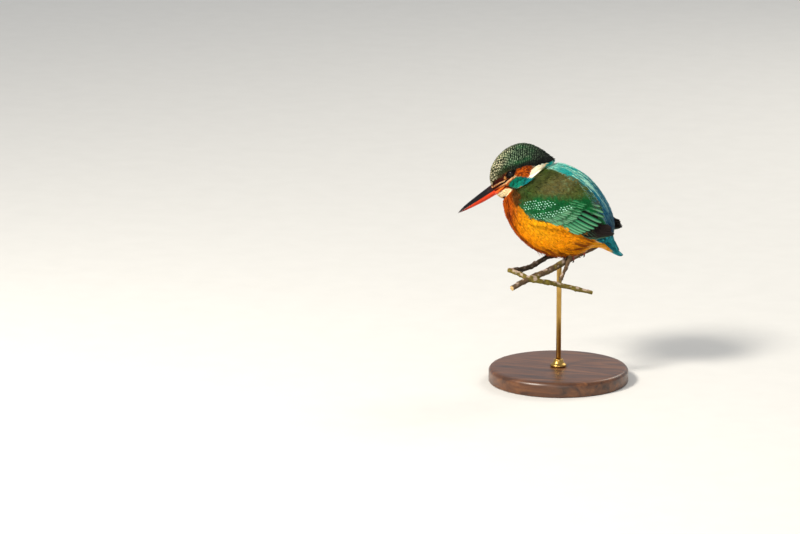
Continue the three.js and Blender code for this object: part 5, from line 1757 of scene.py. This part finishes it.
def build_eyes():
    """Eyeballs with a slightly raised cornea, dark brown iris and black pupil, each in a ring of bare lid."""
    radius = chosen("eye_radius")
    for side, word in ((-1, "left"), (1, "right")):
        centre, facing = eye_centre(side)
        helper = unit(np.cross(facing, [0, 0, 1.0]))
        upward = np.cross(helper, facing)
        polar = np.linspace(0, np.pi, 40)[1:-1, None, None]
        turn = np.linspace(0, 2 * np.pi, 48, endpoint=False)[:, None]
        out = helper * np.cos(turn) + upward * np.sin(turn)
        reach = radius * (1 + 0.05 * hump(polar, 0, 0.7))
        rings = centre + reach * (facing * np.cos(polar) + out * np.sin(polar))
        shape = closed_rings(rings, centre + facing * radius * 1.05, centre - facing * radius)
        off_axis = np.degrees(np.arccos(np.clip(unit(shape[0] - centre) @ facing, -1, 1)))
        shade = blend(linear("#020202"), linear("#060302"), ramp(30, 34, off_axis))
        shade = blend(shade, linear("#050303"), ramp(44, 50, off_axis))
        new_piece("eyeball_" + word, shape, "eye", ("eye_" + word,), shade)

        turn = np.linspace(0, 2 * np.pi, 60, endpoint=False)[:, None]
        small = np.linspace(0, 2 * np.pi, 12, endpoint=False)[:, None]
        out = helper * np.cos(turn) + upward * np.sin(turn)
        middle = centre + facing * (radius * 0.42) + out * radius * (0.93 + 0.035 * np.cos(2 * turn))
        thick = 0.3 + 0.04 * np.sin(14 * turn)
        rim = middle[:, None] + thick[:, None] * (out[:, None] * np.cos(small) + facing * np.sin(small))
        shape = closed_loop(rim)
        new_piece("eyelids_" + word, shape, "skin", (), np.tile(linear("#0A0706"), (len(shape[0]), 1)))


# ---------- perch and feet ----------

PERCH_LINE = np.array([
    np.cos(PERCH_RISE) * np.cos(PERCH_PLAN), np.cos(PERCH_RISE) * np.sin(PERCH_PLAN), np.sin(PERCH_RISE),
])
PERCH_UP = unit(np.array([0, 0, 1.0]) - PERCH_LINE * PERCH_LINE[2])
PERCH_FRONT = np.cross(PERCH_UP, PERCH_LINE)


def on_perch(s, upwards=0.0, frontwards=0.0):
    """A point by its distance along the branch and its offsets up and to the bird's front."""
    offsets = [np.asarray(v, float)[..., None] for v in (s, upwards, frontwards)]
    s, upwards, frontwards = np.broadcast_arrays(*offsets)
    return np.array([0, 0, -PERCH_DROP]) + PERCH_LINE * s + PERCH_UP * upwards + PERCH_FRONT * frontwards


ROD_TOP = on_perch(ROD_PLACE)
GRIP = np.array([-ROD_TOP[0], -ROD_TOP[1], GRIP_HEIGHT])  # the grip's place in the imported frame

# The branch from its left end: along, up, front, radius.
BRANCH = np.array([
    [-70, -0.6, 1.2, 2.3],
    [-60, 0.4, 0.8, 2.5],
    [-48, 0.5, 0.2, 2.5],
    [-36, -0.2, -0.3, 2.5],
    [-24, -0.7, 0.1, 2.6],
    [-12, -0.2, 0, PERCH_RADIUS],
    [0, 0, 0, PERCH_RADIUS],
    [12, 0, 0, PERCH_RADIUS],
    [20, -0.3, 0.3, 2.8],
    [27, -0.2, 0.8, 2.6],
])
# Side twigs: x, y, z, radius.
FORK = [-43.6, -38.0, -6.1, 1.9]
FRONT_TWIG = np.array([
    FORK,
    [-37.8, -27.0, -7.7, 2.0],
    [-32.8, -16.0, -8.1, 2.2],
    [-26.9, -5.0, -5.2, 2.1],
    [-21.9, 5.0, -2.9, 1.9],
    [-16.4, 10.0, -3.9, 1.4],
])
LOW_TWIG = np.array([
    FORK,
    [-33.0, -42.0, -8.0, 2.0],
    [-23.5, -42.6, -11.6, 2.2],
    [-13.3, -33.0, -15.2, 2.0],
    [-6.0, -24.0, -18.6, 2.1],
    [6.0, -17.0, -22.5, 1.9],
    [18.7, -12.0, -26.3, 1.6],
])
RISING_TWIG = np.array([
    [-6.0, -24.0, -18.6, 1.5],
    [-3.8, -19.2, -10.8, 1.6],
    [-1.4, -14.4, -3.4, 1.7],
    [0.2, -11.2, 2.6, 1.6],
])


SAWN = 0.08  # height of a sawn end's dome, as a share of its radius


def tube(stops, sides, steps, swell=None, bulge=0.5):
    """A tube of changing radius along a smooth line of points: rings square to the line, carried round it
    without twist, between two domes. swell gives the radius's share at each step and angle, and bulge the
    domes' height as a share of the radius."""
    t = np.linspace(0, 1, steps)
    rows = along(stops, t)
    centre, radius = rows[:, :3], rows[:, 3:]
    forward = unit(np.gradient(centre, axis=0))
    guide = np.array([0, 0, 1.0]) if abs(forward[:, 2]).max() < 0.9 else np.array([1.0, 0, 0])
    across = unit(np.cross(forward, guide))
    upward = np.cross(across, forward)
    a = np.linspace(0, 2 * np.pi, sides, endpoint=False)
    share = np.ones((steps, sides)) if swell is None else swell(t[:, None], a[None])
    out = across[:, None] * np.cos(a)[:, None] + upward[:, None] * np.sin(a)[:, None]
    rings = centre[:, None] + out * (radius * share)[..., None]
    outwards = np.array([[-1], [1]]) * forward[[0, -1]] * radius[[0, -1]] * bulge
    return domed(rings, centre, outwards, 5)


def knots(t, a):
    """The branch's swell: a little uneven, with one knot."""
    return 1 + 0.05 * np.sin(9 * t + 2 * a) + 0.1 * hump(t, 0.27, 0.012)


def nodes(t, a):
    """A twig's swell: a little uneven, with a node in every third of its length."""
    return 1 + 0.04 * np.sin(3 * a + 7 * t) + 0.16 * hump(t % 0.34, 0.17, 0.02)


def from_line(points, stops, shares):
    """Distance from points to the nearest of the places at some shares of a line."""
    return np.min([size_of(points - place) for place in along(stops, shares)[:, :3]], axis=0)


def build_perch():
    """The cut branch and its twigs as one surface: round tubes with knots, merged, then roughened along the
    normals by two grains of noise. Cut ends are pale wood; pale patches of lichens grow on the upper side,
    lighter there as painted highlight, and painted shadow darkens the front twig."""
    main = np.c_[on_perch(*BRANCH[:, :3].T), BRANCH[:, 3]]
    points, faces = merged([
        tube(main, 24, 90, knots, SAWN),
        tube(FRONT_TWIG, 20, 60, nodes, SAWN),
        tube(LOW_TWIG, 20, 70, nodes, SAWN),
        tube(RISING_TWIG, 20, 30, nodes),
    ], 0.42, 2)
    normals = point_normals(points, faces)
    rough = 0.3 * noise(points, 2.4, 1) + 0.14 * noise(points, 0.9, 2)
    rough = rough + 0.5 * ramp(0.55, 0.9, noise(points, 3.0, 12))
    cut = np.zeros(len(points))
    for line, last, inner in ((main, 0, 1), (main, -1, -2), (LOW_TWIG, -1, -2)):
        end = line[last, :3]
        off = (points - end) @ unit(end - line[inner, :3])
        cut = np.maximum(cut, ramp(-0.25, -0.05, off) * (size_of(points - end) < 4))
    points = points + normals * (rough * (1 - cut) - 0.1)[:, None]
    low = from_line(points, LOW_TWIG, np.linspace(0, 1, 60))
    front = from_line(points, FRONT_TWIG, np.linspace(0.15, 1, 30))
    green = np.clip(0.5 * ramp(0.1, 0.5, noise(points, 5, 3)) + 0.8 * ramp(4.5, 2.5, low), 0, 1)
    shade = blend(linear("#54422E"), linear("#685C20"), green)
    shade = shade * (1 + 0.35 * noise(points, 1.4, 6))[:, None]
    # pale patches on upward faces: lichens in patches, and painted highlight on the branch's top
    lichen_and_highlight = 0.8 * ramp(0.1, 0.5, noise(points, 2.6, 4)) * ramp(-0.1, 0.4, normals[:, 2])
    shade = blend(shade, linear("#B5A294"), lichen_and_highlight)
    # painted shadow of the bird: the front twig, which passes under it, darkened to near black
    shade = blend(shade, linear("#1F1810"), 0.8 * ramp(4.0, 2.8, front))
    rings = 0.5 + 0.5 * np.sin(7 * size_of(points - main[0, :3]))
    wood = blend(linear("#D9BE8C"), linear("#B08F5A"), rings)
    new_piece("branch", (points, faces), "bark", ("perch",), blend(shade, wood, cut))


def point_normals(points, faces):
    """Normals of a mesh's points: the sum of its faces' own, each as long as the face is large."""
    normals = np.zeros_like(points)
    for group in faces:
        a, b, c = points[group[:, 0]], points[group[:, 1]], points[group[:, -1]]
        facing = np.cross(b - a, c - a)
        for k in range(group.shape[1]):
            np.add.at(normals, group[:, k], facing)
    return unit(normals)


# Toes round the branch, three forwards and one back: along, start, end, radius; degrees from its top.
TOES = [(-2.3, 4, 112, 0.95), (0.0, 0, 128, 1.05), (2.2, 4, 118, 0.95), (0.2, -6, -96, 1.0)]
TOE_CLEARANCE = GAP + 0.15
CLAW_SWEEP = 34


def on_ring(s, degrees, out):
    """A point on a ring round the branch, at an angle from its top towards the bird's front."""
    return on_perch(s, out * np.cos(np.radians(degrees)), out * np.sin(np.radians(degrees)))


def scutes(t, a):
    """A toe's swell: nine rings of scutes along it, raised on top."""
    return 1 + 0.05 * np.abs(np.sin(9 * np.pi * t)) * (0.5 + 0.5 * np.sin(a)) - 0.03


def build_feet():
    """Toes with a ring of scutes for every 0.9 mm and swollen joints, a short shank, and curved claws."""
    share, k = np.linspace(0, 1, 9), np.linspace(0, 1, 7)
    knuckle = 1 - 0.22 * share + 0.1 * np.abs(np.sin(3 * np.pi * share))
    for word, foot in FOOT_PLACES.items():
        parts, claws = [], []
        for offset, start, end, radius in TOES:
            out = PERCH_RADIUS + TOE_CLEARANCE + radius
            place = on_ring(foot + offset * (0.6 + 0.4 * share), start + (end - start) * share, out)
            parts.append(tube(np.c_[place, radius * knuckle], 16, 46, scutes))
            past = np.degrees((GAP + 0.6 * radius) / out)
            turned = end + np.sign(end - start) * (past + CLAW_SWEEP * k)
            curve = on_ring(foot + offset, turned, out - 0.3 * k)
            claws.append(tube(np.c_[curve, 0.62 - 0.48 * k**1.3], 12, 20))
        ankle = on_perch(foot, PERCH_RADIUS + TOE_CLEARANCE + 1.0)
        heel = on_perch(foot * 1.1, PERCH_RADIUS + 6.5, -1.5)
        parts.append(tube(np.c_[np.linspace(ankle, heel, 3), [1.5, 1.4, 1.6]], 16, 20))
        shape = merged(parts, 0.2, 1)
        shade = blend(paint("foot"), paint("foot") * 0.45, ramp(-0.2, 0.8, noise(shape[0], 1.2, 5)))
        new_piece("foot_" + word, shape, "scutes", ("leg_" + word,), shade)
        shape = joined(claws)
        names = ["claw_" + word + "_" + str(i + 1) for i in range(len(TOES))]
        new_piece("claws_" + word, shape, "horn", names, np.tile(paint("claw"), (len(shape[0]), 1)))


# ---------- stand ----------

def lathe(profile, segments):
    """Rings of a profile of radius and height, turned about the rod's upright axis."""
    a = np.linspace(0, 2 * np.pi, segments, endpoint=False)
    radius, z = np.array(profile).T[:, :, None]
    return np.stack([radius * np.cos(a), radius * np.sin(a), z + 0 * a], -1) - GRIP * [1, 1, 0]


def arc(x, z, radius, start, end, count):
    """Points of a profile's rounded corner, from one angle in degrees to another."""
    k = np.radians(np.linspace(start, end, count))
    return np.stack([x + radius * np.cos(k), z + radius * np.sin(k)], -1)


def build_stand():
    """A turned base with a rounded shoulder and a bead, a rod up to the branch and a collar round its
    foot."""
    floor = -GRIP[2]
    table = floor + BASE_HEIGHT
    profile = [
        (BASE_RADIUS - 1.5, floor),
        *arc(BASE_RADIUS - 1.2, floor + 1.2, 1.2, -60, 0, 5),
        *arc(BASE_RADIUS - 3.6, table - 3.6, 3.6, 0, 60, 10),
        (BASE_RADIUS - 2.6, table - 0.35),
        (BASE_RADIUS - 3.6, table - 0.1),
        (BASE_RADIUS - 5.0, table),
        (30, table),
        (8, table),
    ]
    new_piece("turned_base", closed_rings(lathe(profile, 144)), "walnut", ("stand_base",))

    deck = table + GAP
    top = ROD_TOP[2] - PERCH_RADIUS + 0.4
    profile = [(1.7, deck), (ROD_RADIUS, deck + 0.3), (ROD_RADIUS, top - 1), (ROD_RADIUS, top)]
    new_piece("brass_rod", closed_rings(lathe(profile, 48)), "brass", ("stand_rod",))

    bore = ROD_RADIUS + 0.05
    profile = np.array([
        (bore, 0), (6.2, 0), (6.5, 0.3), (6.5, 1.3), (6.2, 1.7), (5.2, 2.3), (4.4, 3.3), (3.9, 4.6),
        (3.6, 5.2), (3.6, 5.7), (3.3, 6.0), (bore, 6.0),
    ])
    shape = closed_loop(lathe(profile + [0, deck], 64))
    new_piece("brass_collar", shape, "brass", ("stand_collar",))


# ---------- stage ----------

def build_stage():
    """Pale floor, soft lights and the camera."""
    size = chosen("floor_size") / 2 * MM
    mesh = bpy.data.meshes.new("floor")
    corners = [(-size, -size, 0), (size, -size, 0), (size, size, 0), (-size, size, 0)]
    mesh.from_pydata(corners, [], [(0, 1, 2, 3)])
    mesh.materials.append(material_of("paper"))
    linked("floor", mesh)

    world = bpy.data.worlds.new("studio")
    world.use_nodes = True
    background = world.node_tree.nodes["Background"]
    background.inputs["Color"].default_value = (0.93, 0.95, 1.0, 1)
    background.inputs["Strength"].default_value = 0.5
    bpy.context.scene.world = world

    target = Vector(((-20 + GRIP[0]) * MM, GRIP[1] * MM, (35 + GRIP[2]) * MM))
    for name, place, power, width in (
        ("key", (-0.85, -1.2, 1.45), 52.0, 0.4),
        ("fill", (0.5, -1.7, 0.4), 9.0, 1.2),
        ("back", (0.6, 1.4, 1.3), 14.0, 0.8),
    ):
        light = bpy.data.lights.new(name, "AREA")
        light.energy = power
        light.color = linear("#FFF6E8")
        light.size = width
        lamp = linked(name, light)
        lamp.location = place
        lamp.rotation_euler = (target - Vector(place)).to_track_quat("-Z", "Y").to_euler()
    place_camera()


def place_camera():
    """The camera at its turn and rise round the grip, which it sees at the given pixel and scale."""
    turn, rise = CAMERA_TURN, CAMERA_RISE
    backwards = np.array([np.sin(turn) * np.cos(rise), -np.cos(turn) * np.cos(rise), np.sin(rise)])
    right = np.array([np.cos(turn), np.sin(turn), 0])
    upward = np.cross(backwards, right)
    focal = FRAME_SIZE[0] * LENS / FILM_WIDTH
    middle = (
        -(GRIP_PIXEL[0] - FRAME_SIZE[0] / 2) * MM_PER_PIXEL * right
        + (GRIP_PIXEL[1] - FRAME_SIZE[1] / 2) * MM_PER_PIXEL * upward
    )
    place = (middle + backwards * focal * MM_PER_PIXEL + GRIP) * MM
    lens = bpy.data.cameras.new("camera")
    lens.lens = LENS
    lens.sensor_width = FILM_WIDTH
    lens.clip_end = 100
    camera = linked("camera", lens)
    axes = Matrix(np.stack([right, upward, backwards], 1).tolist()).to_4x4()
    camera.matrix_world = Matrix.Translation(place.tolist()) @ axes
    bpy.context.scene.camera = camera
    bpy.context.scene.view_settings.view_transform = "Standard"


# ---------- operators and panel ----------

class BuildSkin(bpy.types.Operator):
    """Build the skin under the feathers"""

    bl_idname = "kingfisher.skin"
    bl_label = "Skin"

    def execute(self, context):
        build_skin()
        return {"FINISHED"}


class BuildHeadFeathers(bpy.types.Operator):
    """Build the crown and face feathers"""

    bl_idname = "kingfisher.head_feathers"
    bl_label = "Head feathers"

    def execute(self, context):
        build_crown()
        build_face()
        return {"FINISHED"}


class BuildBodyFeathers(bpy.types.Operator):
    """Build the breast, flank, back and tail covert feathers"""

    bl_idname = "kingfisher.body_feathers"
    bl_label = "Body feathers"

    def execute(self, context):
        build_body()
        build_back()
        build_tail_coverts()
        return {"FINISHED"}


class BuildWings(bpy.types.Operator):
    """Build both folded wings, feather by feather"""

    bl_idname = "kingfisher.wings"
    bl_label = "Wings"

    def execute(self, context):
        build_wing(-1)
        build_wing(1)
        return {"FINISHED"}


class BuildTail(bpy.types.Operator):
    """Build the twelve tail feathers"""

    bl_idname = "kingfisher.tail"
    bl_label = "Tail"

    def execute(self, context):
        build_tail()
        return {"FINISHED"}


class BuildBill(bpy.types.Operator):
    """Build the two mandibles"""

    bl_idname = "kingfisher.bill"
    bl_label = "Bill"

    def execute(self, context):
        build_bill()
        return {"FINISHED"}


class BuildEyes(bpy.types.Operator):
    """Build the eyes and their lids"""

    bl_idname = "kingfisher.eyes"
    bl_label = "Eyes"

    def execute(self, context):
        build_eyes()
        return {"FINISHED"}


class BuildFeet(bpy.types.Operator):
    """Build the feet and claws"""

    bl_idname = "kingfisher.feet"
    bl_label = "Feet"

    def execute(self, context):
        build_feet()
        return {"FINISHED"}


class BuildPerch(bpy.types.Operator):
    """Build the cut branch with its twigs"""

    bl_idname = "kingfisher.perch"
    bl_label = "Branch"

    def execute(self, context):
        build_perch()
        return {"FINISHED"}


class BuildStand(bpy.types.Operator):
    """Build the base, the rod and its collar"""

    bl_idname = "kingfisher.stand"
    bl_label = "Stand"

    def execute(self, context):
        build_stand()
        return {"FINISHED"}


class BuildStage(bpy.types.Operator):
    """Build the floor, the lights and the camera"""

    bl_idname = "kingfisher.stage"
    bl_label = "Stage"

    def execute(self, context):
        build_stage()
        return {"FINISHED"}


OPERATORS = (
    BuildStage, BuildSkin, BuildHeadFeathers, BuildBodyFeathers, BuildWings, BuildTail, BuildBill, BuildEyes,
    BuildFeet, BuildPerch, BuildStand,
)


class KingfisherPanel(bpy.types.Panel):
    """The kingfisher's operators, sizes and colours"""

    bl_idname = "VIEW3D_PT_kingfisher"
    bl_label = "Kingfisher"
    bl_space_type = "VIEW_3D"
    bl_region_type = "UI"
    bl_category = "Kingfisher"

    def draw(self, context):
        for operator in OPERATORS:
            self.layout.operator(operator.bl_idname)
        for group in (context.scene.kingfisher_sizes, context.scene.kingfisher_colours):
            for name in group.__annotations__:
                self.layout.prop(group, name)


CLASSES = (KingfisherColours, KingfisherSizes, *OPERATORS, KingfisherPanel)


def register():
    """Adds the add-on's classes and its colours and sizes."""
    for made in CLASSES:
        bpy.utils.register_class(made)
    bpy.types.Scene.kingfisher_colours = PointerProperty(type=KingfisherColours)
    bpy.types.Scene.kingfisher_sizes = PointerProperty(type=KingfisherSizes)


def unregister():
    """Takes them away again."""
    del bpy.types.Scene.kingfisher_colours
    del bpy.types.Scene.kingfisher_sizes
    for made in reversed(CLASSES):
        bpy.utils.unregister_class(made)


def main():
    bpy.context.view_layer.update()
    register()
    for operator in OPERATORS:
        group, name = operator.bl_idname.split(".")
        getattr(getattr(bpy.ops, group), name)()
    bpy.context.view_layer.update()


if __name__ == "__main__":
    main()
